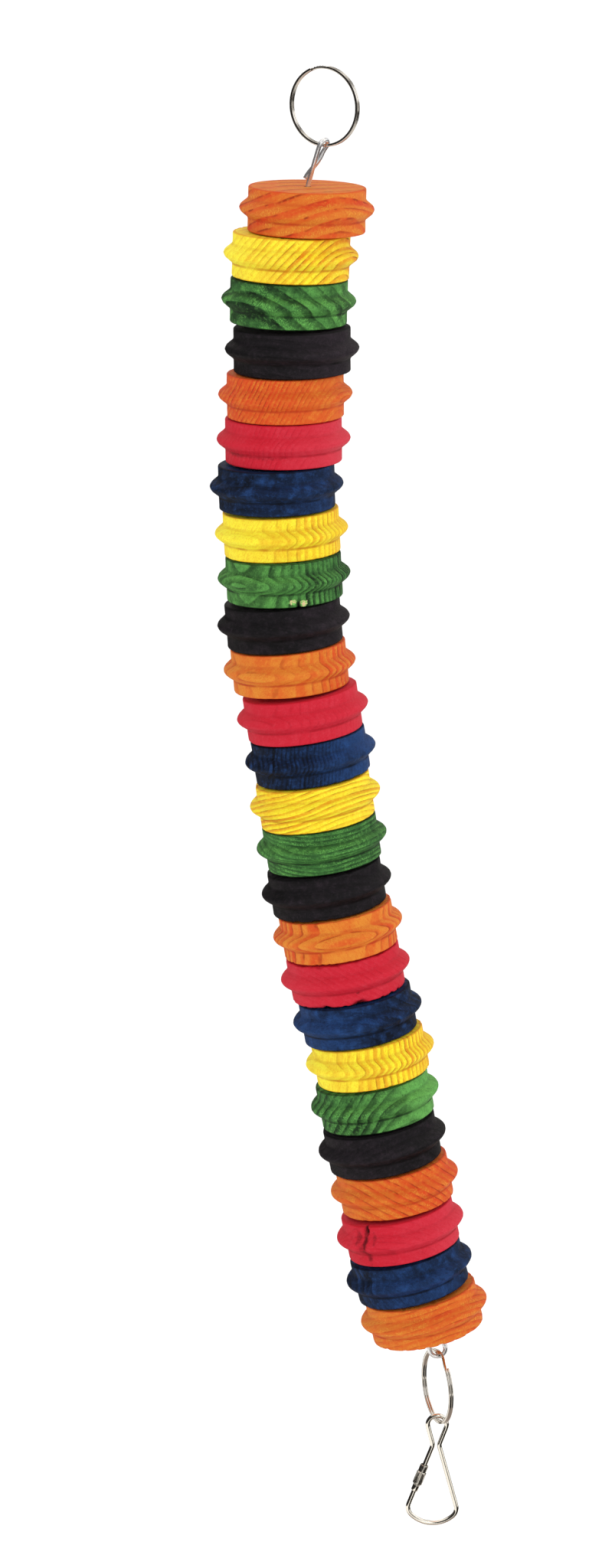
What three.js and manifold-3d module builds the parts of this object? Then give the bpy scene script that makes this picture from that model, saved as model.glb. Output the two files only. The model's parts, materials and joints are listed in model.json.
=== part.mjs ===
import * as THREE from 'three';
import { mergeVertices } from 'three/addons/utils/BufferGeometryUtils.js';
import Module from 'manifold-3d';

// A hanging toy: turned and dyed softwood discs, threaded loosely on one bent steel wire.
// A split ring hangs in the eye at each end of the wire, and the lower ring carries a pear link
// with a screw sleeve. Millimetres, +Z up, +Y away from the viewer. The origin is the hanging
// point, on the inside of the top split ring at its highest point.

// Wooden discs
const discThickness = 15.2;
const discRimRadius = 20;
const discBeadRadius = 23;
const discBoreRadius = 3.5;
const topMouthDepth = 0.8;
const topMouthTaper = 2;
const discUpperBand = 4.1;
const discBeadHeight = 6.5;
const beadNoseWidth = 1.5;
const beadNoseRound = 0.45;
const discSegments = 24;

// Running and seating clearances
const seatClearance = 0.3;
const boreClearance = 0.25;
const mouthClearance = 0.45;
const hookClearance = 0.2;
const sleeveClearance = 0.25;
const coilGap = 0.42;

// Core wire
const wireRadius = 0.8;
const topEyeInnerRadius = 1.6;
const topEyeTurn = THREE.MathUtils.degToRad(36);
const topEyeLean = THREE.MathUtils.degToRad(17);
const topEyeAside = -0.5;
const topEyeNeck = 11;
const bottomEyeInnerRadius = 2.1;
const bottomEyeNeck = 7.6;
const bottomEyeAside = 3.2;
const bottomEyeSpan = [-0.2, Math.PI + 0.35];
const wireReach = 35.8;
const bottomNeckShare = 0.6;
const bottomNeckBow = 0.3;
const bottomTailBow = 0.15;
const exitShare = 0.75;
const wireSides = 8;
const topTailSteps = 9;
const topEyeSteps = 10;
const bottomEyeSteps = 14;
const tightBendDiscs = 4;

// Split rings, each two turns of flat strip
const ringOuterRadius = 13.7;
const ringStripWidth = 1.0;
const ringStripThickness = 0.6;
const ringStripBevel = 0.15;
const ringJogAngle = THREE.MathUtils.degToRad(30);
const ringJogSteps = 5;
const ringStepsPerTurn = 24;
const topRingTurn = THREE.MathUtils.degToRad(-33);
const topRingJogAt = THREE.MathUtils.degToRad(97);
const bottomRingTurn = THREE.MathUtils.degToRad(-70);
const bottomRingJogAt = THREE.MathUtils.degToRad(62);

// Pear link and its screw sleeve
const linkWireRadius = 0.85;
const linkSmallLoopRadius = 3.4;
const linkNeckDrop = 7.9;
const linkNeckHalfGap = 1.1;
const linkNeckBendRadius = 3;
const linkCornerRadius = 4;
const linkCornerDrop = 32.1;
const linkCornerHalfSpan = 4.75;
const linkBottomDrop = 38;
const linkLean = THREE.MathUtils.degToRad(3.5);
const linkBossRadius = 1.25;
const linkBossLength = 2.5;
const linkStubLength = 2.2;
const linkMouth = 4;
const sleeveFromNeck = 8.4;
const sleeveLength = 7.6;
const sleeveCollarLength = 2.6;
const sleeveCollarRadius = 1.5;
const sleeveBodyRadius = 1.75;
const sleeveEdgeBevel = 0.2;
const fluteCount = 12;
const fluteRadius = 0.26;
const fluteDepth = 0.16;

// Finishes
const dyes = {
  orange: 0xe0641c,
  yellow: 0xf6cf10,
  green: 0x1f7a2c,
  black: 0x1b171b,
  red: 0xd8264a,
  blue: 0x0c2f5c,
};
const steelColour = 0xc9c4ba;

// The run of the wire: how far to the side it lies at a disc, counted from the top, as a share of
// how far it reaches to the side below the last disc
const wireBends = [
  [0.5, -0.168],
  [1, -0.204],
  [1.5, -0.251],
  [2, -0.307],
  [4, -0.372],
  [8, -0.461],
  [12, -0.302],
  [16, -0.014],
  [20, 0.316],
  [24, 0.682],
  [26, 0.891],
  [27, 1],
];

// Route of the top tail behind the shank, from its cut end up to the eye: how far along the shank
// from the eye, as a share of it, then how far aside of it and how far behind it, both counted in
// wires laid side by side
const topTailRoute = [
  [0.81, -0.75, 0.8],
  [0.68, -0.48, 0.98],
  [0.51, 0.15, 1.12],
  [0.33, 0.74, 1.43],
  [0.13, 1, 1.8],
];

// Each disc sits askew on the wire by a share, from -1 to 1, of the play in its bore: how far it
// is slid sideways, how far it is rocked from square and how far it is slid back. Then comes how
// much further than the seating clearance it lies below the disc above, in such clearances.
const discRows = [
  ['orange', 0.42, 0.5, 0, 0],
  ['yellow', -0.32, 0.46, 0, 0],
  ['green', -0.13, 0.09, 0.25, 0],
  ['black', 0.63, 0.2, -0.17, 1],
  ['orange', 0.08, 0.25, 0.08, 0],
  ['red', 0.21, 0.21, 0.25, 0],
  ['blue', -0.5, 0.17, -0.17, 0],
  ['yellow', 0.17, 0.08, 0.13, 0.33],
  ['green', 0.17, -0.08, -0.29, 0],
  ['black', -0.5, -0.08, 0.08, 0],
  ['orange', -0.42, -0.12, 0.21, 0],
  ['red', 0.54, 0.02, -0.13, 0],
  ['blue', 0.67, -0.04, 0.13, 0],
  ['yellow', 0.25, -0.08, -0.25, 0.67],
  ['green', 0, -0.12, 0.17, 0],
  ['black', -0.5, -0.08, 0.04, 1.33],
  ['orange', -0.08, -0.08, -0.21, 0.67],
  ['red', -0.25, -0.08, 0.17, 1],
  ['blue', 0.21, -0.08, 0, 1.33],
  ['yellow', 0.71, -0.08, -0.08, 0.33],
  ['green', 0.08, -0.08, 0.25, 1.67],
  ['black', -0.21, -0.08, -0.08, 2],
  ['orange', 0.17, -0.12, 0.21, 1.67],
  ['red', -0.42, -0.08, -0.21, 2],
  ['blue', -0.63, -0.03, 0.13, 1],
  ['orange', -0.08, -0.12, 0, 1.33],
];

// A curve that is sampled at chosen points, so tight bends can have short steps
class SteppedCurve extends THREE.Curve {
  constructor(points) {
    super();
    this.points = points;
  }

  getPoint(share, target = new THREE.Vector3()) {
    return this.getPointAt(share, target);
  }

  getPointAt(share, target = new THREE.Vector3()) {
    const index = Math.round(share * (this.points.length - 1));
    return target.copy(this.points[index]);
  }

  getTangentAt(share, target = new THREE.Vector3()) {
    const last = this.points.length - 1;
    const index = Math.round(share * last);
    const after = this.points[Math.min(index + 1, last)];
    const before = this.points[Math.max(index - 1, 0)];
    return target.subVectors(after, before).normalize();
  }
}

function sweep(outline, points) {
  const extrudePath = new SteppedCurve(points);
  const steps = points.length - 1;
  return new THREE.ExtrudeGeometry(outline, { steps, extrudePath, bevelEnabled: false });
}

function roundOutline(radius, sides) {
  const corners = [];
  for (let side = 0; side < sides; side += 1) {
    const angle = (2 * Math.PI * side) / sides;
    corners.push(new THREE.Vector2(radius * Math.cos(angle), radius * Math.sin(angle)));
  }
  return new THREE.Shape(corners);
}

// Solid turned about +Z from a profile of radii and heights
function latheOf(profile, segments) {
  const points = profile.map(([radius, height]) => new THREE.Vector2(radius, height));
  const geometry = new THREE.LatheGeometry(points, segments);
  geometry.rotateX(Math.PI / 2);
  return geometry;
}

// Points of an arc about a centre, from one unit direction towards another, in radians
function arcPoints(centre, radius, along, towards, from, to, steps) {
  const points = [];
  for (let step = 0; step <= steps; step += 1) {
    const angle = from + ((to - from) * step) / steps;
    const point = centre.clone();
    point.addScaledVector(along, radius * Math.cos(angle));
    point.addScaledVector(towards, radius * Math.sin(angle));
    points.push(point);
  }
  return points;
}

// Least clear distance between stretches of a wire that are not neighbours along it
function leastGap(points, diameter, apart) {
  const dense = [];
  for (let index = 0; index < points.length - 1; index += 1) {
    for (let part = 0; part < 4; part += 1) {
      dense.push(points[index].clone().lerp(points[index + 1], part / 4));
    }
  }
  const along = [0];
  for (let index = 1; index < dense.length; index += 1) {
    along.push(along[index - 1] + dense[index].distanceTo(dense[index - 1]));
  }
  let least = Infinity;
  for (let first = 0; first < dense.length; first += 1) {
    for (let second = first + 1; second < dense.length; second += 1) {
      if (along[second] - along[first] > apart) {
        least = Math.min(least, dense[first].distanceTo(dense[second]));
      }
    }
  }
  return least - diameter;
}

const wasm = await Module();
wasm.setup();

function toSolid(geometry) {
  const bare = geometry.clone();
  bare.deleteAttribute('normal');
  bare.deleteAttribute('uv');
  const merged = mergeVertices(bare, 1e-4);
  const vertProperties = new Float32Array(merged.attributes.position.array);
  const triVerts = new Uint32Array(merged.index.array);
  return new wasm.Manifold(new wasm.Mesh({ numProp: 3, vertProperties, triVerts }));
}

function toGeometry(solid) {
  const { vertProperties, triVerts } = solid.getMesh();
  const geometry = new THREE.BufferGeometry();
  geometry.setAttribute('position', new THREE.BufferAttribute(new Float32Array(vertProperties), 3));
  geometry.setIndex(new THREE.BufferAttribute(new Uint32Array(triVerts), 1));
  geometry.computeVertexNormals();
  return geometry;
}

// Places on the run of the wire
const borePlay = discBoreRadius - wireRadius - boreClearance;
const rockLimit = Math.atan((2 * borePlay) / discThickness);
const discPitch = discThickness + seatClearance;
const runCurve = new THREE.CatmullRomCurve3(
  wireBends.map(([disc, share]) => new THREE.Vector3(disc * discPitch, share * wireReach, 0)),
);
const runSamples = runCurve.getPoints(40 * wireBends.length);

function sideOfRun(disc) {
  const drop = disc * discPitch;
  let index = 1;
  while (index < runSamples.length - 1 && runSamples[index].x < drop) {
    index += 1;
  }
  const before = runSamples[index - 1];
  const after = runSamples[index];
  return THREE.MathUtils.lerp(before.y, after.y, (drop - before.x) / (after.x - before.x));
}

function headingOfRun(disc) {
  return Math.atan2(sideOfRun(disc + 0.5) - sideOfRun(disc - 0.5), discPitch);
}

const ringMeanRadius = ringOuterRadius - ringStripWidth / 2;
const ringInnerRadius = ringOuterRadius - ringStripWidth;
const ringHalfDepth = ringStripThickness + coilGap / 2;
const topRingCentre = new THREE.Vector3(0, 0, -ringInnerRadius);
const topPivot = topRingCentre.clone();
topPivot.z -= ringMeanRadius;

// How far below the crown of an eye the middle of a ring's strip hangs, when the strip crosses
// the plane of the eye at the two given angles from square
function seatInEye(eyeInnerRadius, eyeWireRadius, acrossAngle, slopeAngle) {
  const halfWidth = ringHalfDepth / Math.cos(acrossAngle) + eyeWireRadius * Math.tan(acrossAngle);
  const halfHeight = ringStripWidth / 2 / Math.cos(slopeAngle) + eyeWireRadius * Math.tan(slopeAngle);
  const reach = Math.sqrt((eyeInnerRadius - hookClearance) ** 2 - halfWidth ** 2);
  return eyeInnerRadius - reach + halfHeight;
}

// Top eye of the wire, hooked over the bottom of the top ring
const up = new THREE.Vector3(0, 0, 1);
const topEyeAcross = new THREE.Vector3(Math.sin(topEyeTurn), Math.cos(topEyeTurn), 0);
const topEyeUp = new THREE.Vector3(Math.cos(topEyeTurn), -Math.sin(topEyeTurn), 0);
topEyeUp.multiplyScalar(Math.sin(topEyeLean)).addScaledVector(up, Math.cos(topEyeLean));
const topEyeSeat = seatInEye(
  topEyeInnerRadius,
  wireRadius,
  Math.abs(topEyeTurn + topRingTurn),
  topEyeLean,
);
const topEyeCentre = topPivot.clone().addScaledVector(topEyeUp, topEyeSeat - topEyeInnerRadius);
topEyeCentre.x += topEyeAside;
const topEyeRadius = topEyeInnerRadius + wireRadius;
const topFace = new THREE.Vector3(sideOfRun(0.5), 0, topEyeCentre.z - topEyeNeck - topEyeRadius);

// Disc places, from the top down
function discFrame(lean) {
  return {
    down: new THREE.Vector3(Math.sin(lean), 0, -Math.cos(lean)),
    across: new THREE.Vector3(Math.cos(lean), 0, Math.sin(lean)),
  };
}

// Least clear distance between the lower face of one disc and the upper face of the next
function faceGap(upper, lower) {
  const upperFrame = discFrame(upper.lean);
  const lowerFrame = discFrame(lower.lean);
  const upperFace = upper.centre.clone().addScaledVector(upperFrame.down, discThickness / 2);
  const lowerFace = lower.centre.clone().addScaledVector(lowerFrame.down, -discThickness / 2);
  let least = Infinity;
  for (const reach of [-discRimRadius, discRimRadius]) {
    const lowerRim = lowerFace.clone().addScaledVector(lowerFrame.across, reach);
    const upperRim = upperFace.clone().addScaledVector(upperFrame.across, reach);
    least = Math.min(least, lowerRim.sub(upperFace).dot(upperFrame.down));
    least = Math.min(least, lowerFace.clone().sub(upperRim).dot(lowerFrame.down));
  }
  return least;
}

const discPlaces = [];
discRows.forEach(([dye, slide, rock, back, loose], index) => {
  const number = index + 1;
  const lean = headingOfRun(number) + rock * rockLimit;
  const centre = new THREE.Vector3(sideOfRun(number) + slide * borePlay, back * borePlay, 0);
  const place = { dye, lean, centre };
  if (index === 0) {
    centre.z = topFace.z - discThickness / 2;
  } else {
    const above = discPlaces[index - 1];
    centre.z = above.centre.z - discPitch;
    for (let pass = 0; pass < 4; pass += 1) {
      centre.z -= seatClearance * (1 + loose) - faceGap(above, place);
    }
  }
  discPlaces.push(place);
});

const lastDisc = discPlaces[discPlaces.length - 1];
const lastFrame = discFrame(lastDisc.lean);
const lastFace = lastDisc.centre.clone().addScaledVector(lastFrame.down, discThickness / 2);

// Bottom eye of the wire and what hangs in it
const bottomEyeRadius = bottomEyeInnerRadius + wireRadius;
const bottomEyeCentre = lastFace.clone();
bottomEyeCentre.x += bottomEyeAside;
bottomEyeCentre.y = 0;
bottomEyeCentre.z -= bottomEyeNeck;
const bottomEyeFloor = bottomEyeCentre.clone();
bottomEyeFloor.z -= bottomEyeInnerRadius;
const bottomPivot = bottomEyeFloor.clone();
bottomPivot.z += seatInEye(bottomEyeInnerRadius, wireRadius, Math.PI / 2 + bottomRingTurn, 0);
const bottomRingCentre = bottomPivot.clone();
bottomRingCentre.z -= ringMeanRadius;
const linkPivot = bottomRingCentre.clone();
linkPivot.z -= ringMeanRadius;
const linkInnerRadius = linkSmallLoopRadius - linkWireRadius;
const linkSeat = seatInEye(linkInnerRadius, linkWireRadius, Math.PI / 2 + bottomRingTurn, linkLean);

// A disc turned to a plain upper band, a bead with a rounded crest and a plain lower band. The
// bore is narrowed at the upper face where a mouth is asked for.
function discGeometry(mouthRadius) {
  const top = discThickness / 2;
  const shoulder = top - discUpperBand;
  const foot = shoulder - discBeadHeight;
  const crest = (shoulder + foot) / 2;
  const profile = [
    [discBoreRadius, -top],
    [discRimRadius, -top],
    [discRimRadius, foot],
    [discBeadRadius - beadNoseRound, crest - beadNoseWidth / 2],
    [discBeadRadius, crest],
    [discBeadRadius - beadNoseRound, crest + beadNoseWidth / 2],
    [discRimRadius, shoulder],
    [discRimRadius, top],
    [mouthRadius, top],
  ];
  if (mouthRadius < discBoreRadius) {
    profile.push([mouthRadius, top - topMouthDepth]);
    profile.push([discBoreRadius, top - topMouthDepth - topMouthTaper]);
  }
  profile.push([discBoreRadius, -top]);
  return latheOf(profile, discSegments);
}

// Strip of two turns side by side: one end lies on the front turn and the other on the back one,
// and the strip crosses from turn to turn in the short gap between its two ends
function splitRingGeometry(jogAt) {
  const halfShift = (ringStripThickness + coilGap) / 2;
  const straight = 2 * Math.PI - ringJogAngle;
  const turnSteps = ringStepsPerTurn - 2;
  const points = [];
  function addPoint(angle, shift) {
    const x = ringMeanRadius * Math.cos(angle);
    const y = ringMeanRadius * Math.sin(angle);
    points.push(new THREE.Vector3(x, y, shift));
  }
  const start = jogAt + ringJogAngle / 2;
  for (let step = 0; step < turnSteps; step += 1) {
    addPoint(start + (straight * step) / turnSteps, halfShift);
  }
  for (let step = 0; step < ringJogSteps; step += 1) {
    const share = step / ringJogSteps;
    addPoint(start + straight + ringJogAngle * share, halfShift * Math.cos(Math.PI * share));
  }
  for (let step = 0; step <= turnSteps; step += 1) {
    addPoint(start + (straight * step) / turnSteps, -halfShift);
  }
  const halfThick = ringStripThickness / 2;
  const halfWide = ringStripWidth / 2;
  const outline = new THREE.Shape([
    new THREE.Vector2(halfThick, halfWide - ringStripBevel),
    new THREE.Vector2(halfThick - ringStripBevel, halfWide),
    new THREE.Vector2(ringStripBevel - halfThick, halfWide),
    new THREE.Vector2(-halfThick, halfWide - ringStripBevel),
    new THREE.Vector2(-halfThick, ringStripBevel - halfWide),
    new THREE.Vector2(ringStripBevel - halfThick, -halfWide),
    new THREE.Vector2(halfThick - ringStripBevel, -halfWide),
    new THREE.Vector2(halfThick, ringStripBevel - halfWide),
  ]);
  const geometry = sweep(outline, points);
  geometry.rotateX(Math.PI / 2);
  return geometry;
}

// Route of the core wire, from the cut end of the top tail to the cut end of the bottom tail
function coreWirePoints() {
  const wireGap = 2 * wireRadius + coilGap;
  const eyeBack = topEyeCentre.clone().addScaledVector(topEyeAcross, topEyeRadius);
  const eyeFront = topEyeCentre.clone().addScaledVector(topEyeAcross, -topEyeRadius);
  const entry = topFace.clone();
  const topTail = topTailRoute.map(([share, aside, behind]) => {
    const onShank = new THREE.Vector3().lerpVectors(eyeFront, entry, share);
    return onShank.add(new THREE.Vector3(aside * wireGap, behind * wireGap, 0));
  });
  const points = new THREE.CatmullRomCurve3([...topTail, eyeBack]).getSpacedPoints(topTailSteps);
  const overHook = arcPoints(topEyeCentre, topEyeRadius, topEyeAcross, topEyeUp, 0, Math.PI, topEyeSteps);
  points.push(...overHook.slice(1));
  points.push(new THREE.Vector3().lerpVectors(eyeFront, entry, 0.5));
  points.push(entry);
  discPlaces.forEach((place, index) => {
    const number = index + 1;
    points.push(new THREE.Vector3(sideOfRun(number), 0, place.centre.z));
    const below = discPlaces[index + 1];
    if (number <= tightBendDiscs) {
      const between = (place.centre.z + below.centre.z) / 2;
      points.push(new THREE.Vector3(sideOfRun(number + 0.5), 0, between));
    }
  });
  const exit = new THREE.Vector3(lastFace.x + exitShare * borePlay, 0, lastFace.z);
  points.push(exit);
  const left = new THREE.Vector3(-1, 0, 0);
  const drop = new THREE.Vector3(0, 0, -1);
  const [eyeFrom, eyeTo] = bottomEyeSpan;
  const eye = arcPoints(bottomEyeCentre, bottomEyeRadius, left, drop, eyeFrom, eyeTo, bottomEyeSteps);
  points.push(exit.clone().lerp(eye[0], bottomNeckShare).addScaledVector(left, bottomNeckBow));
  points.push(...eye);
  const tailTop = exit.clone().add(new THREE.Vector3(wireGap, wireGap / 2, -wireRadius - seatClearance));
  const tailMiddle = eye[eye.length - 1].clone().lerp(tailTop, 0.5);
  points.push(tailMiddle.addScaledVector(left, -bottomTailBow));
  points.push(tailTop);
  return points;
}

// Outline of the pear link in its own plane, from the stub, down and round to the open leg end.
// The middle of the small loop is the origin.
function linkLayout() {
  const neck = new THREE.Vector2(linkNeckHalfGap, -linkNeckDrop);
  const corner = new THREE.Vector2(linkCornerHalfSpan, -linkCornerDrop);
  const toCorner = corner.clone().sub(neck);
  const legAngle = Math.atan2(toCorner.x, -toCorner.y) + Math.asin(linkCornerRadius / toCorner.length());
  const bottomDepth = linkBottomDrop - linkCornerDrop;
  const bottomRadius = (linkCornerHalfSpan ** 2 + bottomDepth ** 2 - linkCornerRadius ** 2)
    / (2 * (bottomDepth - linkCornerRadius));
  const bottomCentre = new THREE.Vector2(0, bottomRadius - linkBottomDrop);
  const bottomSpan = Math.atan2(linkCornerHalfSpan, bottomCentre.y + linkCornerDrop);
  const loopTangent = Math.atan2(neck.x, linkNeckDrop) + Math.acos(linkSmallLoopRadius / neck.length());
  return { neck, corner, legAngle, bottomRadius, bottomCentre, bottomSpan, loopTangent };
}

const link = linkLayout();
const legDirection = new THREE.Vector2(Math.sin(link.legAngle), -Math.cos(link.legAngle));
const bossFromNeck = sleeveFromNeck + sleeveLength + seatClearance;

function onLeg(side, fromNeck) {
  const x = link.neck.x + legDirection.x * fromNeck;
  const z = link.neck.y + legDirection.y * fromNeck;
  return new THREE.Vector3(side * x, 0, z);
}

function flatArc(centre, radius, from, to, steps) {
  const across = new THREE.Vector3(1, 0, 0);
  const middle = new THREE.Vector3(centre.x, 0, centre.y);
  return arcPoints(middle, radius, across, up, from, to, steps);
}

// Points of a round bend at a corner, from the side of one unit direction to that of the other
function bendPoints(corner, towardsStart, towardsEnd, radius, steps) {
  const half = towardsStart.angleTo(towardsEnd) / 2;
  const inwards = towardsStart.clone().add(towardsEnd).normalize();
  const aside = towardsStart.clone().sub(towardsEnd).normalize();
  const centre = corner.clone().addScaledVector(inwards, radius / Math.sin(half));
  const sweepHalf = Math.PI / 2 - half;
  return arcPoints(centre, radius, inwards.negate(), aside, sweepHalf, -sweepHalf, steps);
}

function pearLinkPoints() {
  const { corner, legAngle, bottomCentre, bottomRadius, bottomSpan, loopTangent } = link;
  const leftCorner = new THREE.Vector2(-corner.x, corner.y);
  const down = -Math.PI / 2;
  const stubEnd = bossFromNeck - linkStubLength;
  const points = [onLeg(-1, stubEnd), onLeg(-1, bossFromNeck + linkBossLength)];
  points.push(
    ...flatArc(leftCorner, linkCornerRadius, Math.PI - legAngle, Math.PI - bottomSpan - down, 6),
    ...flatArc(bottomCentre, bottomRadius, down - bottomSpan, down + bottomSpan, 8).slice(1),
    ...flatArc(corner, linkCornerRadius, down + bottomSpan, legAngle, 6).slice(1),
  );
  const loopFrom = loopTangent + down;
  const loop = flatArc(new THREE.Vector2(), linkSmallLoopRadius, loopFrom, Math.PI - loopFrom, 14);
  const neck = onLeg(1, 0);
  const alongLeg = onLeg(1, 1).sub(neck);
  const intoLoop = loop[0].clone().sub(neck).normalize();
  const rightNeck = bendPoints(neck, alongLeg, intoLoop, linkNeckBendRadius, 3);
  const leftNeck = rightNeck.map((point) => new THREE.Vector3(-point.x, 0, point.z));
  points.push(...rightNeck, ...loop, ...leftNeck.reverse());
  points.push(onLeg(-1, stubEnd - linkMouth));
  return points;
}

// Turns a solid that stands along +Z so that it lies along the left leg, at a place on it
function layOnLeftLeg(geometry, fromNeck) {
  const place = onLeg(-1, fromNeck);
  geometry.rotateY(link.legAngle);
  geometry.translate(place.x, place.y, place.z);
  return geometry;
}

function pearLinkGeometry() {
  const wire = sweep(roundOutline(linkWireRadius, wireSides), pearLinkPoints());
  const edge = linkBossRadius - sleeveEdgeBevel;
  const boss = latheOf([
    [0, -linkBossLength],
    [edge, -linkBossLength],
    [linkBossRadius, sleeveEdgeBevel - linkBossLength],
    [linkBossRadius, -sleeveEdgeBevel],
    [edge, 0],
    [0, 0],
  ], 12);
  layOnLeftLeg(boss, bossFromNeck);
  return toGeometry(toSolid(wire).add(toSolid(boss)));
}

// Sleeve turned from bar with a plain collar above, its bore over the leg, then fluted below
function screwSleeveGeometry() {
  const bore = linkWireRadius + sleeveClearance;
  const collarFoot = sleeveLength - sleeveCollarLength;
  const blank = latheOf([
    [bore, 0],
    [sleeveBodyRadius - sleeveEdgeBevel, 0],
    [sleeveBodyRadius, sleeveEdgeBevel],
    [sleeveBodyRadius, collarFoot - sleeveEdgeBevel],
    [sleeveBodyRadius - sleeveEdgeBevel, collarFoot],
    [sleeveCollarRadius, collarFoot],
    [sleeveCollarRadius, sleeveLength],
    [bore, sleeveLength],
    [bore, 0],
  ], fluteCount * 2);
  let sleeve = toSolid(blank);
  const fluteReach = collarFoot + 2 * fluteRadius;
  for (let flute = 0; flute < fluteCount; flute += 1) {
    const angle = (2 * Math.PI * (flute + 0.5)) / fluteCount;
    const cutter = new THREE.CylinderGeometry(fluteRadius, fluteRadius, fluteReach, 6);
    cutter.rotateX(Math.PI / 2);
    cutter.rotateZ(angle);
    const reach = sleeveBodyRadius + fluteRadius - fluteDepth;
    cutter.translate(reach * Math.cos(angle), reach * Math.sin(angle), collarFoot / 2);
    sleeve = sleeve.subtract(toSolid(cutter));
  }
  const geometry = toGeometry(sleeve);
  return layOnLeftLeg(geometry, sleeveFromNeck + sleeveLength);
}

function steel() {
  return new THREE.MeshStandardMaterial({ color: steelColour, roughness: 0.25, metalness: 1 });
}

function dyedWood(dye) {
  return new THREE.MeshStandardMaterial({ color: dyes[dye], roughness: 0.75, metalness: 0 });
}

function piece(name, geometry, material) {
  const mesh = new THREE.Mesh(geometry, material);
  mesh.name = name;
  return mesh;
}

const toy = new THREE.Group();

const topRing = piece('top_split_ring', splitRingGeometry(topRingJogAt), steel());
topRing.position.copy(topRingCentre);
topRing.rotation.z = topRingTurn;
toy.add(topRing);

const wirePoints = coreWirePoints();
toy.add(piece('core_wire', sweep(roundOutline(wireRadius, wireSides), wirePoints), steel()));

discPlaces.forEach(({ dye, lean, centre }, index) => {
  const name = `disc_${String(index + 1).padStart(2, '0')}_${dye}`;
  const mouthRadius = index === 0 ? wireRadius + mouthClearance : discBoreRadius;
  const disc = piece(name, discGeometry(mouthRadius), dyedWood(dye));
  disc.position.copy(centre);
  disc.rotation.y = -lean;
  toy.add(disc);
});

const bottomRing = piece('bottom_split_ring', splitRingGeometry(bottomRingJogAt), steel());
bottomRing.position.copy(bottomRingCentre);
bottomRing.rotation.z = bottomRingTurn;
toy.add(bottomRing);

const linkHanger = new THREE.Group();
linkHanger.position.copy(linkPivot);
linkHanger.rotation.y = linkLean;
const linkBody = new THREE.Group();
linkBody.position.z = linkSeat - linkInnerRadius;
linkBody.add(piece('pear_link', pearLinkGeometry(), steel()));
linkBody.add(piece('screw_sleeve', screwSleeveGeometry(), steel()));
linkHanger.add(linkBody);
toy.add(linkHanger);

const wireGapFound = leastGap(wirePoints, 2 * wireRadius, 4 * topEyeRadius);
const linkGapFound = leastGap(pearLinkPoints(), 2 * linkWireRadius, 3 * linkSmallLoopRadius);
console.log(`least gap of the core wire to itself: ${wireGapFound.toFixed(2)} mm`);
console.log(`least gap of the pear link to itself: ${linkGapFound.toFixed(2)} mm`);
console.log(`least gap between the turns of a split ring: ${coilGap.toFixed(2)} mm`);

export default toy;
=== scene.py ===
import json
import math
from collections import namedtuple

import bmesh
import bpy
from bpy.props import FloatProperty, FloatVectorProperty, IntProperty, PointerProperty
from mathutils import Matrix, Vector, noise


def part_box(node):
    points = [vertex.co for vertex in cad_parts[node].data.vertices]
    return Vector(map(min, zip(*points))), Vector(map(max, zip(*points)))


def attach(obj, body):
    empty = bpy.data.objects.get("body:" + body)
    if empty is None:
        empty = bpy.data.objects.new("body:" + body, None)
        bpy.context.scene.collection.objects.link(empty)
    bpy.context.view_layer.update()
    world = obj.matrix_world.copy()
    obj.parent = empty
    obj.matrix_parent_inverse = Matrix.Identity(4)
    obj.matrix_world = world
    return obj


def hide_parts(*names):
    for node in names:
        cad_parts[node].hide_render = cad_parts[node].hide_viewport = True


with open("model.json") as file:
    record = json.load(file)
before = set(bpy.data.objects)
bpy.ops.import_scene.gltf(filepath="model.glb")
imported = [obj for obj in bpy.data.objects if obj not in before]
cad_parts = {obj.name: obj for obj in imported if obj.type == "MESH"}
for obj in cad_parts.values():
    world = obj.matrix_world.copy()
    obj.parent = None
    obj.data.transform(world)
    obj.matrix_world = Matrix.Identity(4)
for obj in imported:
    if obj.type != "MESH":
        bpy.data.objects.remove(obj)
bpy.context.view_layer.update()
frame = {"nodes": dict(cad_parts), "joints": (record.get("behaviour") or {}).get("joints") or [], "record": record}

bl_info = {
    "name": "Hanging disc toy",
    "version": (1, 0, 0),
    "blender": (4, 5, 0),
    "location": "3D View > Sidebar > Disc toy",
    "description": "Dresses a hanging toy of turned, dyed wooden discs on a bent wire",
    "category": "Add Mesh",
}

MM = 0.001

# Places closer than a hair count as the same, and doubles are merged when they touch
HAIR = 0.01 * MM
TOUCHING = 0.002 * MM

# Over these angles between faces an edge stays sharp
SHARP_ON_WOOD = math.radians(40)
SHARP_ON_WIRE = math.radians(35)
SHARP_ON_FLUTES = math.radians(28)
SHARP_ON_SWEPT = math.radians(50)

# How rough the metals are, and how much of the bare wire shines as metal
BRIGHT_PLATING = 0.10
WORN_PLATING = 0.20
DRAWN_WIRE = 0.18
WIRE_METAL = 0.85

# Share of a wire's radius that is taken off at its cut ends
END_ROUNDING = 0.16

RECORD = frame["record"]
JOINTS = {joint["name"]: joint for joint in frame["joints"]}
DISC_NAMES = sorted(name for name in frame["nodes"] if name.startswith("disc_"))

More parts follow.
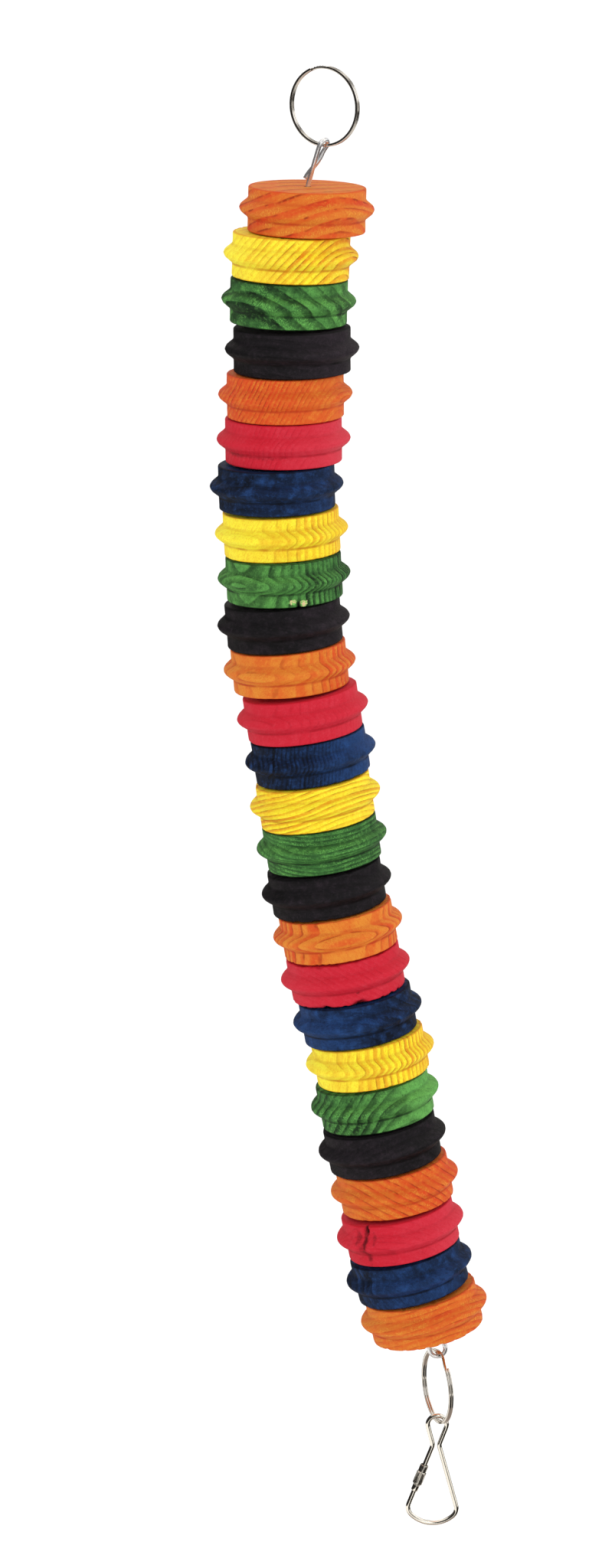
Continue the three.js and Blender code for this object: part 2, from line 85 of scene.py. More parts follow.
# How a disc was cut from its log, and how it took the dye. rise is the way from the pith outwards
# at the middle of the disc, as right, back and up of the disc. pith is how far off the pith lies,
# spacing how far apart the rings are and relief how deep the soft wood is worn, in millimetres.
# The shares: lines is how dark the late wood is, flecks how much the rays show, blotch how uneven
# the dye is, rough how torn the edges are, bead how round the crest was turned, tone how pale or
# how dark the disc came out. wash is how much paler it is on the side at the angle wash_at, in
# degrees round from the front towards the right.
Cut = namedtuple("Cut", "rise pith spacing relief lines flecks blotch rough bead tone wash wash_at")
CUTS = [
    Cut((-0.30, 0.20, 1.00), 70, 3.7, 0.02, 1.00, 1.00, 0.3, 0.10, 0.0, 0.05, 0.10, 70),
    Cut((-0.75, 0.15, 0.66), 80, 2.1, 0.04, 1.00, 0.90, 0.4, 0.45, 0.0, 0.00, 0.40, -70),
    Cut((0.55, 0.35, 0.80), 45, 4.4, 0.03, 0.90, 1.00, 0.9, 0.20, 0.0, 0.00, 0.25, 70),
    Cut((0.10, 0.20, 1.00), 60, 3.0, 0.02, 0.40, 0.20, 0.5, 0.15, 0.1, 0.00, 0.35, 80),
    Cut((-0.85, 0.10, 0.45), 70, 1.5, 0.04, 1.00, 0.70, 0.5, 0.30, 0.1, -0.50, 0.30, 60),
    Cut((-0.80, 0.45, 0.40), 70, 1.6, 0.02, 0.35, 0.35, 0.3, 0.20, 0.1, 0.00, 0.45, 80),
    Cut((0.10, 0.35, 0.90), 40, 3.6, 0.03, 0.55, 0.15, 1.0, 0.15, 0.1, -0.30, 0.40, 50),
    Cut((-0.55, -0.83, 0.08), 80, 2.3, 0.06, 0.60, 0.50, 0.5, 0.30, 0.2, -0.05, 0.40, -60),
    Cut((-0.50, -0.86, 0.05), 55, 1.9, 0.16, 0.95, 0.20, 0.6, 0.20, 0.2, 0.10, 0.25, -50),
    Cut((0.30, 0.20, 0.90), 60, 2.8, 0.02, 0.30, 0.20, 0.5, 0.15, 0.2, -0.10, 0.30, 80),
    Cut((-0.45, -0.88, 0.06), 60, 2.9, 0.05, 0.90, 0.70, 0.6, 0.30, 0.3, 0.05, 0.30, -30),
    Cut((-0.60, -0.80, 0.10), 80, 2.0, 0.02, 0.20, 0.25, 0.3, 0.15, 0.5, 0.00, 0.10, 90),
    Cut((-0.90, -0.30, 0.20), 70, 1.3, 0.04, 0.90, 0.15, 0.8, 0.60, 0.4, -0.10, 0.60, 80),
    Cut((-0.20, 0.10, 1.00), 90, 1.8, 0.05, 0.80, 0.40, 0.3, 0.35, 0.5, 0.00, 0.10, 70),
    Cut((0.02, -0.25, 0.97), 60, 1.5, 0.05, 0.60, 1.00, 0.4, 0.20, 0.6, -0.10, 0.15, -70),
    Cut((0.05, 0.20, 1.00), 60, 2.6, 0.02, 0.30, 0.20, 0.5, 0.90, 0.6, -0.10, 0.10, 60),
    Cut((0.06, -0.99, 0.04), 50, 2.4, 0.06, 0.85, 0.60, 0.4, 0.60, 0.5, 0.30, 0.10, 0),
    Cut((0.60, 0.20, 0.75), 80, 1.8, 0.02, 0.25, 0.25, 0.3, 1.00, 0.8, 0.00, 0.10, -80),
    Cut((0.20, 0.50, 0.80), 40, 3.8, 0.03, 0.60, 0.15, 1.0, 0.15, 0.8, -0.10, 0.45, -50),
    Cut((-0.75, -0.65, 0.10), 70, 2.2, 0.10, 0.80, 0.50, 0.4, 0.70, 0.5, 0.00, 0.38, -65),
    Cut((-0.80, 0.52, 0.80), 50, 3.0, 0.04, 0.75, 0.80, 0.6, 0.25, 0.8, 0.30, 0.40, 80),
    Cut((-0.30, 0.40, 0.90), 50, 2.4, 0.03, 0.35, 0.20, 0.6, 0.15, 0.9, 0.00, 0.10, -60),
    Cut((0.62, 0.22, 0.75), 60, 2.6, 0.03, 0.85, 0.70, 0.5, 0.40, 0.9, -0.20, 0.30, -90),
    Cut((0.30, 0.60, 0.70), 50, 2.4, 0.02, 0.25, 0.10, 0.3, 0.15, 1.0, 0.00, 0.35, 80),
    Cut((0.80, -0.50, 0.45), 35, 3.4, 0.05, 0.95, 0.12, 1.0, 0.35, 0.9, -0.25, 0.50, 15),
    Cut((-0.12, 0.15, 1.00), 80, 2.2, 0.03, 0.60, 1.00, 0.4, 0.70, 0.9, -0.05, 0.20, -60),
]

# Where the rings are as straight as the log was, in millimetres from the middle of a disc
FRONT_OF_DISC = Vector((0, -21, 0))

# Chips, knots, cracks and scorched lines: on which disc, how far round from the front towards the
# right in degrees, how high above the middle of the disc, how wide and how high it is in
# millimetres, how deep it goes, and how much of it is stained dark or left as bare wood
Mark = namedtuple("Mark", "disc turn height wide high deep stain bare")
MARKS = [
    Mark(9, 8, -5.7, 1.5, 1.0, 0.25, 0.0, 0.8),
    Mark(9, 19, -6.4, 1.6, 1.1, 0.30, 0.0, 0.85),
    Mark(9, 14, -7.0, 1.0, 2.0, 0.90, 0.9, 0.0),
    Mark(18, 12, -7.6, 2.6, 1.3, 1.20, 0.8, 0.0),
    Mark(18, -28, -7.6, 3.6, 0.9, 0.60, 0.5, 0.0),
    Mark(18, 11, -3.6, 1.0, 0.6, 0.20, 0.6, 0.0),
    Mark(24, -34, 6.4, 0.8, 1.8, 1.30, 1.0, 0.0),
    Mark(24, -36, 2.4, 1.0, 3.6, 0.20, 0.75, 0.0),
    Mark(24, -45, 3.8, 1.6, 3.4, 0.05, 0.52, 0.0),
    Mark(24, -40, -0.6, 1.4, 3.0, 0.05, 0.50, 0.0),
    Mark(24, -37, -2.6, 1.4, 4.4, 0.10, 0.60, 0.0),
    Mark(24, -26, 3.4, 1.0, 2.6, 0.05, 0.50, 0.0),
    Mark(24, -56, 0.6, 1.6, 5.0, 0.05, 0.34, 0.0),
    Mark(6, -52, -3.4, 6.0, 0.9, 0.05, 0.5, 0.0),
    Mark(6, -18, -3.6, 10.0, 0.8, 0.05, 0.42, 0.0),
]


class WoodenDiscSizes(bpy.types.PropertyGroup):
    thickness: FloatProperty(
        name="Thickness",
        description="Height of a disc along its bore",
        default=15.2 * MM, unit="LENGTH",
    )
    rim_radius: FloatProperty(
        name="Rim radius", description="Radius of the plain bands", default=20 * MM, unit="LENGTH"
    )
    bead_radius: FloatProperty(
        name="Bead radius",
        description="Radius over the crest of the bead",
        default=22.97 * MM, unit="LENGTH",
    )
    bore_radius: FloatProperty(
        name="Bore radius",
        description="Radius of the drilled hole",
        default=3.5 * MM, unit="LENGTH",
    )
    mouth_radius: FloatProperty(
        name="Mouth radius",
        description="Tight mouth of the top disc",
        default=1.25 * MM, unit="LENGTH",
    )
    upper_band: FloatProperty(
        name="Upper band",
        description="Height of the plain band over the bead",
        default=4.1 * MM, unit="LENGTH",
    )
    bead_height: FloatProperty(
        name="Bead height",
        description="Height of the bead where it leaves the bands",
        default=6.5 * MM, unit="LENGTH",
    )
    nose_height: FloatProperty(
        name="Nose height",
        description="Height of the crest before it is rounded",
        default=1.6 * MM, unit="LENGTH",
    )
    nose_round: FloatProperty(
        name="Nose rounding", description="Rounding of the crest", default=0.95 * MM, unit="LENGTH"
    )
    cove_round: FloatProperty(
        name="Cove rounding",
        description="Rounding where the bead meets a band",
        default=0.6 * MM, unit="LENGTH",
    )
    edge_round: FloatProperty(
        name="Edge rounding",
        description="Rounding of the outer edges",
        default=0.55 * MM, unit="LENGTH",
    )
    steps: IntProperty(name="Steps", description="Faces round a disc", default=192, min=24, max=256)


class WoodDyes(bpy.types.PropertyGroup):
    orange: FloatVectorProperty(
        name="Orange",
        description="Early wood dyed orange",
        subtype="COLOR", default=(0.585, 0.143, 0.018),
    )
    orange_late: FloatVectorProperty(
        name="Orange lines",
        description="Late wood dyed orange",
        subtype="COLOR", default=(0.57, 0.052, 0.011),
    )
    orange_pale: FloatVectorProperty(
        name="Orange flecks",
        description="Rays and worn wood dyed orange",
        subtype="COLOR", default=(0.74, 0.33, 0.04),
    )
    yellow: FloatVectorProperty(
        name="Yellow",
        description="Early wood dyed yellow",
        subtype="COLOR", default=(0.83, 0.74, 0.024),
    )
    yellow_late: FloatVectorProperty(
        name="Yellow lines",
        description="Late wood dyed yellow",
        subtype="COLOR", default=(0.66, 0.23, 0.009),
    )
    yellow_pale: FloatVectorProperty(
        name="Yellow flecks",
        description="Rays and worn wood dyed yellow",
        subtype="COLOR", default=(0.92, 0.85, 0.07),
    )
    green: FloatVectorProperty(
        name="Green",
        description="Early wood dyed green",
        subtype="COLOR", default=(0.044, 0.16, 0.036),
    )
    green_late: FloatVectorProperty(
        name="Green lines",
        description="Late wood dyed green",
        subtype="COLOR", default=(0.007, 0.020, 0.008),
    )
    green_pale: FloatVectorProperty(
        name="Green flecks",
        description="Rays and worn wood dyed green",
        subtype="COLOR", default=(0.16, 0.48, 0.10),
    )
    black: FloatVectorProperty(
        name="Black",
        description="Early wood dyed black",
        subtype="COLOR", default=(0.01, 0.0085, 0.0105),
    )
    black_late: FloatVectorProperty(
        name="Black lines",
        description="Late wood dyed black",
        subtype="COLOR", default=(0.004, 0.0035, 0.004),
    )
    black_pale: FloatVectorProperty(
        name="Black flecks",
        description="Rays and worn wood dyed black",
        subtype="COLOR", default=(0.045, 0.03, 0.042),
    )
    red: FloatVectorProperty(
        name="Red", description="Early wood dyed red", subtype="COLOR", default=(0.53, 0.016, 0.034)
    )
    red_late: FloatVectorProperty(
        name="Red lines",
        description="Late wood dyed red",
        subtype="COLOR", default=(0.46, 0.007, 0.020),
    )
    red_pale: FloatVectorProperty(
        name="Red flecks",
        description="Rays and worn wood dyed red",
        subtype="COLOR", default=(0.60, 0.055, 0.085),
    )
    blue: FloatVectorProperty(
        name="Blue",
        description="Early wood dyed blue",
        subtype="COLOR", default=(0.0052, 0.0165, 0.055),
    )
    blue_late: FloatVectorProperty(
        name="Blue lines",
        description="Late wood dyed blue",
        subtype="COLOR", default=(0.0025, 0.005, 0.012),
    )
    blue_pale: FloatVectorProperty(
        name="Blue flecks",
        description="Rays and worn wood dyed blue",
        subtype="COLOR", default=(0.021, 0.080, 0.27),
    )
    bare: FloatVectorProperty(
        name="Bare wood",
        description="Undyed wood in a chip",
        subtype="COLOR", default=(0.62, 0.48, 0.26),
    )


class HardwareSizes(bpy.types.PropertyGroup):
    wire_radius: FloatProperty(
        name="Wire radius", description="Radius of the core wire", default=0.8 * MM, unit="LENGTH"
    )
    link_wire_radius: FloatProperty(
        name="Link wire radius",
        description="Radius of the pear link's wire",
        default=0.85 * MM, unit="LENGTH",
    )
    ring_radius: FloatProperty(
        name="Ring radius",
        description="Outer radius of a split ring",
        default=13.62 * MM, unit="LENGTH",
    )
    strip_width: FloatProperty(
        name="Strip width", description="Width of the ring's strip", default=1.0 * MM, unit="LENGTH"
    )
    strip_thickness: FloatProperty(
        name="Strip thickness",
        description="Thickness of one turn of strip",
        default=0.77 * MM, unit="LENGTH",
    )
    ring_depth: FloatProperty(
        name="Ring depth",
        description="Depth of a ring over its two turns",
        default=1.6 * MM, unit="LENGTH",
    )
    ring_steps: IntProperty(
        name="Ring steps", description="Faces round one turn", default=144, min=24, max=192
    )
    sleeve_from_neck: FloatProperty(
        name="Sleeve place",
        description="How far down the leg from the neck the sleeve starts",
        default=8.4 * MM, unit="LENGTH",
    )
    sleeve_length: FloatProperty(
        name="Sleeve length",
        description="Length of the screw sleeve",
        default=7.6 * MM, unit="LENGTH",
    )
    sleeve_radius: FloatProperty(
        name="Sleeve radius",
        description="Radius of its fluted part",
        default=1.75 * MM, unit="LENGTH",
    )
    sleeve_bore: FloatProperty(
        name="Sleeve bore",
        description="Radius of its threaded hole",
        default=1.1 * MM, unit="LENGTH",
    )
    collar_length: FloatProperty(
        name="Collar length",
        description="Length of its plain collar",
        default=2.6 * MM, unit="LENGTH",
    )
    collar_radius: FloatProperty(
        name="Collar radius",
        description="Radius of its plain collar",
        default=1.5 * MM, unit="LENGTH",
    )
    boss_from_neck: FloatProperty(
        name="Boss place",
        description="How far down the leg from the neck the boss sits",
        default=16.3 * MM, unit="LENGTH",
    )
    boss_length: FloatProperty(
        name="Boss length",
        description="Length of the boss",
        default=2.5 * MM, unit="LENGTH",
    )
    boss_radius: FloatProperty(
        name="Boss radius",
        description="Radius of the boss",
        default=1.25 * MM, unit="LENGTH",
    )
    stub_length: FloatProperty(
        name="Stub length",
        description="Length of the stub over the boss",
        default=2.2 * MM, unit="LENGTH",
    )
    mouth: FloatProperty(
        name="Mouth",
        description="Width of the link's mouth",
        default=4 * MM, unit="LENGTH",
    )
    flutes: IntProperty(
        name="Flutes", description="Number of flutes round the sleeve", default=16, min=6, max=24
    )
    ring_nickel: FloatVectorProperty(
        name="Ring nickel",
        description="Colour of the rings' plating",
        subtype="COLOR", default=(0.66, 0.63, 0.59),
    )
    nickel: FloatVectorProperty(
        name="Link nickel",
        description="Colour of the link's plating",
        subtype="COLOR", default=(0.86, 0.83, 0.77),
    )
    sleeve_nickel: FloatVectorProperty(
        name="Sleeve nickel",
        description="Colour of the sleeve's plating",
        subtype="COLOR", default=(0.60, 0.58, 0.54),
    )
    wire_grey: FloatVectorProperty(
        name="Wire",
        description="Colour of the bare core wire",
        subtype="COLOR", default=(0.80, 0.81, 0.84),
    )


class PearLinkSizes(bpy.types.PropertyGroup):
    loop_radius: FloatProperty(
        name="Loop radius",
        description="Radius of the small loop, to the middle of the wire",
        default=3.4 * MM, unit="LENGTH",
    )
    loop_seat: FloatProperty(
        name="Loop seat",
        description="How far the loop's middle hangs under its pivot",
        default=1.36 * MM, unit="LENGTH",
    )
    neck_drop: FloatProperty(
        name="Neck drop",
        description="How far the neck lies under the loop's middle",
        default=7.9 * MM, unit="LENGTH",
    )
    neck_half_gap: FloatProperty(
        name="Neck half gap",
        description="Half the distance between the wires at the neck",
        default=1.1 * MM, unit="LENGTH",
    )
    neck_radius: FloatProperty(
        name="Neck bend",
        description="Radius of the bends at the neck",
        default=3 * MM, unit="LENGTH",
    )
    corner_radius: FloatProperty(
        name="Corner radius",
        description="Radius of the bends at the foot",
        default=4 * MM, unit="LENGTH",
    )
    corner_drop: FloatProperty(
        name="Corner drop",
        description="How far the bends' middles lie under the loop's",
        default=32.1 * MM, unit="LENGTH",
    )
    corner_half_span: FloatProperty(
        name="Corner half span",
        description="Half the distance between the bends' middles",
        default=4.75 * MM, unit="LENGTH",
    )
    foot_drop: FloatProperty(
        name="Foot drop",
        description="How far the foot lies under the loop's middle",
        default=37.95 * MM, unit="LENGTH",
    )
    lean: FloatProperty(
        name="Lean",
        description="Lean of the hanging link to the left",
        default=math.radians(3.5), unit="ROTATION",
    )


class StageLook(bpy.types.PropertyGroup):
    floor_drop: FloatProperty(
        name="Floor",
        description="How far the floor lies under the hanging point",
        default=0.95, unit="LENGTH",
    )
    camera_back: FloatProperty(
        name="Camera distance",
        description="Distance of the camera from the toy",
        default=1.657, unit="LENGTH",
    )
    camera_up: FloatProperty(
        name="Camera height",
        description="Height of the camera over the hanging point",
        default=0.1623, unit="LENGTH",
    )
    camera_aside: FloatProperty(
        name="Camera aside",
        description="Place of the camera to the right",
        default=-0.0103, unit="LENGTH",
    )
    camera_dip: FloatProperty(
        name="Camera dip",
        description="How far the camera looks down",
        default=math.radians(13.9), unit="ROTATION",
    )
    camera_roll: FloatProperty(
        name="Camera roll",
        description="Lean of the camera to the right",
        default=math.radians(0.6), unit="ROTATION",
    )
    lens: FloatProperty(
        name="Lens",
        description="Focal length in millimetres",
        default=112.5, min=10,
    )


class ToySettings(bpy.types.PropertyGroup):
    discs: PointerProperty(type=WoodenDiscSizes)
    dyes: PointerProperty(type=WoodDyes)
    hardware: PointerProperty(type=HardwareSizes)
    link: PointerProperty(type=PearLinkSizes)
    stage: PointerProperty(type=StageLook)


# Working with meshes as by hand


def deselect_all():
    if bpy.context.object and bpy.context.object.mode != "OBJECT":
        bpy.ops.object.mode_set(mode="OBJECT")
    bpy.ops.object.select_all(action="DESELECT")


def make_active(piece):
    deselect_all()
    piece.select_set(True)
    bpy.context.view_layer.objects.active = piece


def named(name):
    piece = bpy.context.object
    piece.name = name
    piece.data.name = name
    return piece


def edit(piece, kind="VERT"):
    make_active(piece)
    bpy.ops.object.mode_set(mode="EDIT")
    bpy.ops.mesh.select_mode(type=kind)


def leave_edit():
    bpy.ops.object.mode_set(mode="OBJECT")


def select_parts(piece, kind, wanted):
    """Selects the vertices or the edges of a mesh in edit mode for which wanted is true."""
    bpy.ops.mesh.select_mode(type=kind)
    bpy.ops.mesh.select_all(action="DESELECT")
    mesh = bmesh.from_edit_mesh(piece.data)
    parts = mesh.verts if kind == "VERT" else mesh.edges
    for part in parts:
        if wanted(part):
            part.select_set(True)
    mesh.select_flush_mode()
    bmesh.update_edit_mesh(piece.data)


def near(value, target):
    return abs(value - target) < HAIR


def upright_rectangle(name, width, height, middle=0.0):
    """Adds a rectangle that faces the front, with its centre this far to the right, ready to edit."""
    deselect_all()
    bpy.ops.mesh.primitive_plane_add(size=1, location=(middle, 0, 0), rotation=(math.pi / 2, 0, 0))
    section = named(name)
    section.scale = (width, height, 1)
    bpy.ops.object.transform_apply(location=True, rotation=True, scale=True)
    edit(section)
    return section


def cut_level(heights):
    """Cuts the whole mesh in edit mode level at each of the heights."""
    for height in heights:
        bpy.ops.mesh.select_all(action="SELECT")
        bpy.ops.mesh.bisect(plane_co=(0, 0, height), plane_no=(0, 0, 1))


def spin_round(steps):
    """Spins the outline in edit mode once round Z, closes it and turns its faces outwards."""
    bpy.ops.mesh.select_all(action="SELECT")
    bpy.ops.mesh.spin(steps=steps, angle=2 * math.pi, center=(0, 0, 0), axis=(0, 0, 1))
    bpy.ops.mesh.select_all(action="SELECT")
    bpy.ops.mesh.remove_doubles(threshold=TOUCHING)
    bpy.ops.mesh.normals_make_consistent(inside=False)


def standing_on(axis):
    """The turn that brings Z to an axis, and leaves the front of a piece in front."""
    across = Vector((0, 1, 0)).cross(axis).normalized()
    return Matrix((across, axis.cross(across), axis)).transposed()


def place_piece(piece, turn, where):
    """Puts the mesh itself in its place, so that its object stays at the origin."""
    piece.data.transform(Matrix.Translation(where) @ turn.to_4x4())
    piece.data.update()


def hand_over(piece, body, node, material):
    piece.data.materials.clear()
    piece.data.materials.append(material)
    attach(piece, body)
    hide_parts(node)


def body_of_node(node):
    bodies = RECORD["behaviour"]["bodies"]
    return next(body for body, nodes in bodies.items() if node in nodes)


# Materials


class Shading:
    """Adds nodes to the tree of a material or of the world, and joins them."""

    def __init__(self, owner, shader="Principled BSDF"):
        owner.use_nodes = True
        self.owner = owner
        self.tree = owner.node_tree
        self.shader = self.tree.nodes[shader]

    def node(self, kind, **settings):
        made = self.tree.nodes.new(kind)
        for key, value in settings.items():
            setattr(made, key, value)
        return made

    def feed(self, socket, value):
        """Joins a socket to another one, or gives it a colour or a number."""
        if isinstance(value, bpy.types.NodeSocket):
            self.tree.links.new(value, socket)
        elif isinstance(value, (tuple, list)):
            socket.default_value = (*value, 1)
        else:
            socket.default_value = value

    def math(self, operation, first, second=0.0, third=0.0):
        made = self.node("ShaderNodeMath", operation=operation)
        for socket, value in zip(made.inputs, (first, second, third)):
            self.feed(socket, value)
        return made.outputs[0]

    def ramp(self, value, low, high, start=0.0, end=1.0):
        made = self.node("ShaderNodeMapRange", interpolation_type="SMOOTHSTEP")
        for socket, given in zip(made.inputs, (value, low, high, start, end)):
            self.feed(socket, given)
        return made.outputs[0]

    def mix(self, share, first, second):
        made = self.node("ShaderNodeMix", data_type="RGBA")
        self.feed(made.inputs[0], share)
        self.feed(made.inputs[6], first)
        self.feed(made.inputs[7], second)
        return made.outputs[2]

    def split(self, vector):
        made = self.node("ShaderNodeSeparateXYZ")
        self.feed(made.inputs[0], vector)
        return made.outputs

    def join(self, x, y, z):
        made = self.node("ShaderNodeCombineXYZ")
        for socket, value in zip(made.inputs, (x, y, z)):
            self.feed(socket, value)
        return made.outputs[0]

    def noise(self, vector, scale, detail=2.0, roughness=0.5):
        made = self.node("ShaderNodeTexNoise")
        self.feed(made.inputs["Vector"], vector)
        made.inputs["Scale"].default_value = scale
        made.inputs["Detail"].default_value = detail
        made.inputs["Roughness"].default_value = roughness
        return made.outputs["Fac"]

    def attribute(self, name):
        return self.node("ShaderNodeAttribute", attribute_name=name).outputs["Vector"]

    def object_place(self):
        return self.node("ShaderNodeTexCoord").outputs["Object"]

    def bump(self, height, distance, strength):
        made = self.node("ShaderNodeBump")
        self.feed(made.inputs["Height"], height)
        made.inputs["Strength"].default_value = strength
        made.inputs["Distance"].default_value = distance
        return made.outputs[0]


def dyed_wood(dye, early, late, pale, bare, sizes):
    """Softwood soaked in dye. Its rings, rays and flecks follow the grain stored on the mesh."""
    look = Shading(bpy.data.materials.new(f"wood_{dye}"))
    place = look.object_place()
    grain = look.split(look.attribute("grain"))
    turned = look.split(look.attribute("turned"))
    finish = look.split(look.attribute("finish"))
    wear = look.split(look.attribute("wear"))
    dark = [0.35 * part for part in late]
    rim = sizes.rim_radius / MM

    # Late wood, and the thin dark seam where a year ends
    waver = look.math("SUBTRACT", look.noise(place, 160, 3), 0.5)
    rings = look.math("MULTIPLY_ADD", waver, 0.22, grain[0])
    growth = look.math("FRACT", rings)
    year = look.node("ShaderNodeTexWhiteNoise", noise_dimensions="1D")
    look.feed(year.inputs["W"], look.math("FLOOR", rings))
    year_tone = look.math("MULTIPLY_ADD", year.outputs["Value"], 0.5, 0.6)
    opens = look.math("MULTIPLY_ADD", year.outputs["Value"], -0.3, 0.42)
    patchy = look.ramp(look.noise(place, 110, 2), 0.35, 0.60, 0.55, 1.0)
    strength = look.math("MULTIPLY", finish[0], patchy)
    band = look.ramp(growth, opens, look.math("ADD", opens, 0.38))
    band = look.math("MULTIPLY", band, look.ramp(growth, 0.91, 1.0, 1.0, 0.0))
    band = look.math("MULTIPLY", look.math("MULTIPLY", band, year_tone), strength)
    seam = look.math("MULTIPLY", look.ramp(growth, 0.74, 0.86), look.ramp(growth, 0.93, 0.99, 1.0, 0.0))
    seam = look.math("MULTIPLY", seam, look.ramp(look.noise(place, 210, 2), 0.42, 0.58))
    seam = look.math("MULTIPLY", seam, strength)

    # Fibres, rays and the uneven take of the dye
    across = look.math("MULTIPLY", grain[0], 2.0)
    along = look.math("MULTIPLY", grain[2], 0.08)
    along_fibre = look.join(across, grain[1], along)
    fibre = look.noise(along_fibre, 2.6, 4, 0.65)
    along_ray = look.join(look.math("MULTIPLY", grain[0], 0.8), grain[1], grain[2])
    ray = look.noise(along_ray, 4.0, 1)
    where = look.ramp(look.noise(place, 130, 1), 0.42, 0.58)
    soft = look.math("SUBTRACT", 1.0, look.ramp(growth, 0.35, 0.75))
    flecks = look.math("MULTIPLY", look.math("MULTIPLY", look.ramp(ray, 0.50, 0.64), where), soft)
    flecks = look.math("MULTIPLY", flecks, wear[0])
    cloud = look.noise(place, 75, 3, 0.6)
    bloom = look.noise(place, 260, 1, 0.5)
    mottle = look.noise(place, 2600, 2, 0.6)
    grit = look.noise(place, 900, 3, 0.7)

    # The layers of colour, from the dye up
    colour = look.mix(look.math("MAXIMUM", wear[2], 0.0), early, pale)
    colour = look.mix(look.math("MAXIMUM", look.math("MULTIPLY", wear[2], -1.0), 0.0), colour, late)
    blotched = look.math("MULTIPLY", look.ramp(cloud, 0.46, 0.70), wear[1])
    colour = look.mix(look.math("MULTIPLY", blotched, 0.8), colour, late)
    bloomed = look.math("MULTIPLY", look.ramp(bloom, 0.42, 0.90), wear[1])
    colour = look.mix(look.math("MULTIPLY", bloomed, 0.6), colour, pale)
    colour = look.mix(look.math("MULTIPLY", look.ramp(fibre, 0.45, 0.75), 0.5), colour, late)
    colour = look.mix(look.math("MINIMUM", look.math("MULTIPLY", band, 1.15), 1.0), colour, late)
    colour = look.mix(look.math("MULTIPLY", seam, 0.85), colour, dark)
    colour = look.mix(look.math("MULTIPLY", flecks, 0.8), colour, pale)
    colour = look.mix(look.math("MULTIPLY", look.ramp(mottle, 0.48, 0.80), 0.55), colour, late)
    colour = look.mix(look.math("MULTIPLY", look.ramp(grit, 0.50, 0.85), 0.5), colour, late)
    colour = look.mix(look.math("MULTIPLY", look.ramp(grit, 0.50, 0.25), 0.3), colour, pale)

    # Painted shade in the coves, partly dye pooled there, then darker outer edges and paler flat faces
    half = sizes.thickness / MM / 2
    shoulder = half - sizes.upper_band / MM
    foot = shoulder - sizes.bead_height / MM
    shade_and_dye_patches = look.ramp(look.noise(place, 150, 2), 0.30, 0.62, 0.3, 1.0)
    # Painted shade: a dark line in the cove under the bead and a fainter one over it, partly pooled dye
    for height, share in ((foot, 0.8), (shoulder, 0.3)):
        off = look.math("ABSOLUTE", look.math("SUBTRACT", turned[2], height))
        cove_shade_and_dye = look.math("MULTIPLY", look.ramp(off, 0.1, 0.75, share, 0.0), shade_and_dye_patches)
        colour = look.mix(cove_shade_and_dye, colour, [0.7 * part for part in late])
    squares = [look.math("POWER", turned[axis], 2) for axis in (0, 1)]
    radius = look.math("SQRT", look.math("ADD", *squares))
    level = look.math("ABSOLUTE", turned[2])
    edge = look.ramp(level, half - 0.55, half - 0.1, 0.0, 0.6)
    edge = look.math("MULTIPLY", edge, look.ramp(radius, rim - 1.2, rim - 0.5))
    colour = look.mix(edge, colour, late)
    face = look.ramp(level, half - 0.12, half - 0.04, 0.0, 0.15)
    face = look.math("MULTIPLY", face, look.ramp(radius, rim - 0.7, rim - 1.4))
    colour = look.mix(face, colour, pale)

    # Bare wood in the chips, then scorched and stained places
    crumb = look.noise(place, 1300, 2)
    chip = look.ramp(look.math("MULTIPLY_ADD", crumb, 0.9, finish[2]), 0.88, 1.02)
    colour = look.mix(chip, colour, look.mix(look.ramp(grit, 0.45, 0.55), pale, bare))
    burnt = look.ramp(look.math("MULTIPLY_ADD", crumb, 0.4, finish[1]), 0.40, 1.15)
    colour = look.mix(burnt, colour, [0.12 * part for part in late])
    look.feed(look.shader.inputs["Base Color"], colour)

    height = look.math("MULTIPLY_ADD", band, -0.15, look.math("MULTIPLY", fibre, 0.4))
    height = look.math("MULTIPLY_ADD", flecks, 0.4, height)
    height = look.math("MULTIPLY_ADD", mottle, 0.4, height)
    look.feed(look.shader.inputs["Normal"], look.bump(height, 0.22 * MM, 0.8))
    look.feed(look.shader.inputs["Roughness"], look.ramp(fibre, 0.3, 0.8, 0.56, 0.76))
    look.shader.inputs["Specular IOR Level"].default_value = 0.1
    return look.owner


def plated_steel(name, colour, roughness, metallic=1.0):
    """Bright nickel on steel, with fine drawing marks and small stains."""
    look = Shading(bpy.data.materials.new(name))
    place = look.object_place()
    stain = look.noise(place, 260, 3, 0.6)
    marks = look.noise(place, 2400, 2, 0.7)
    dull = [0.62 * part for part in colour]
    tinted = look.mix(look.ramp(stain, 0.50, 0.80, 0.0, 0.35), colour, dull)
    look.feed(look.shader.inputs["Base Color"], tinted)
    look.shader.inputs["Metallic"].default_value = metallic
    look.feed(look.shader.inputs["Roughness"], look.ramp(marks, 0.2, 0.8, roughness, roughness + 0.08))
    look.feed(look.shader.inputs["Normal"], look.bump(marks, 0.01 * MM, 0.3))
    return look.owner


# Wooden discs


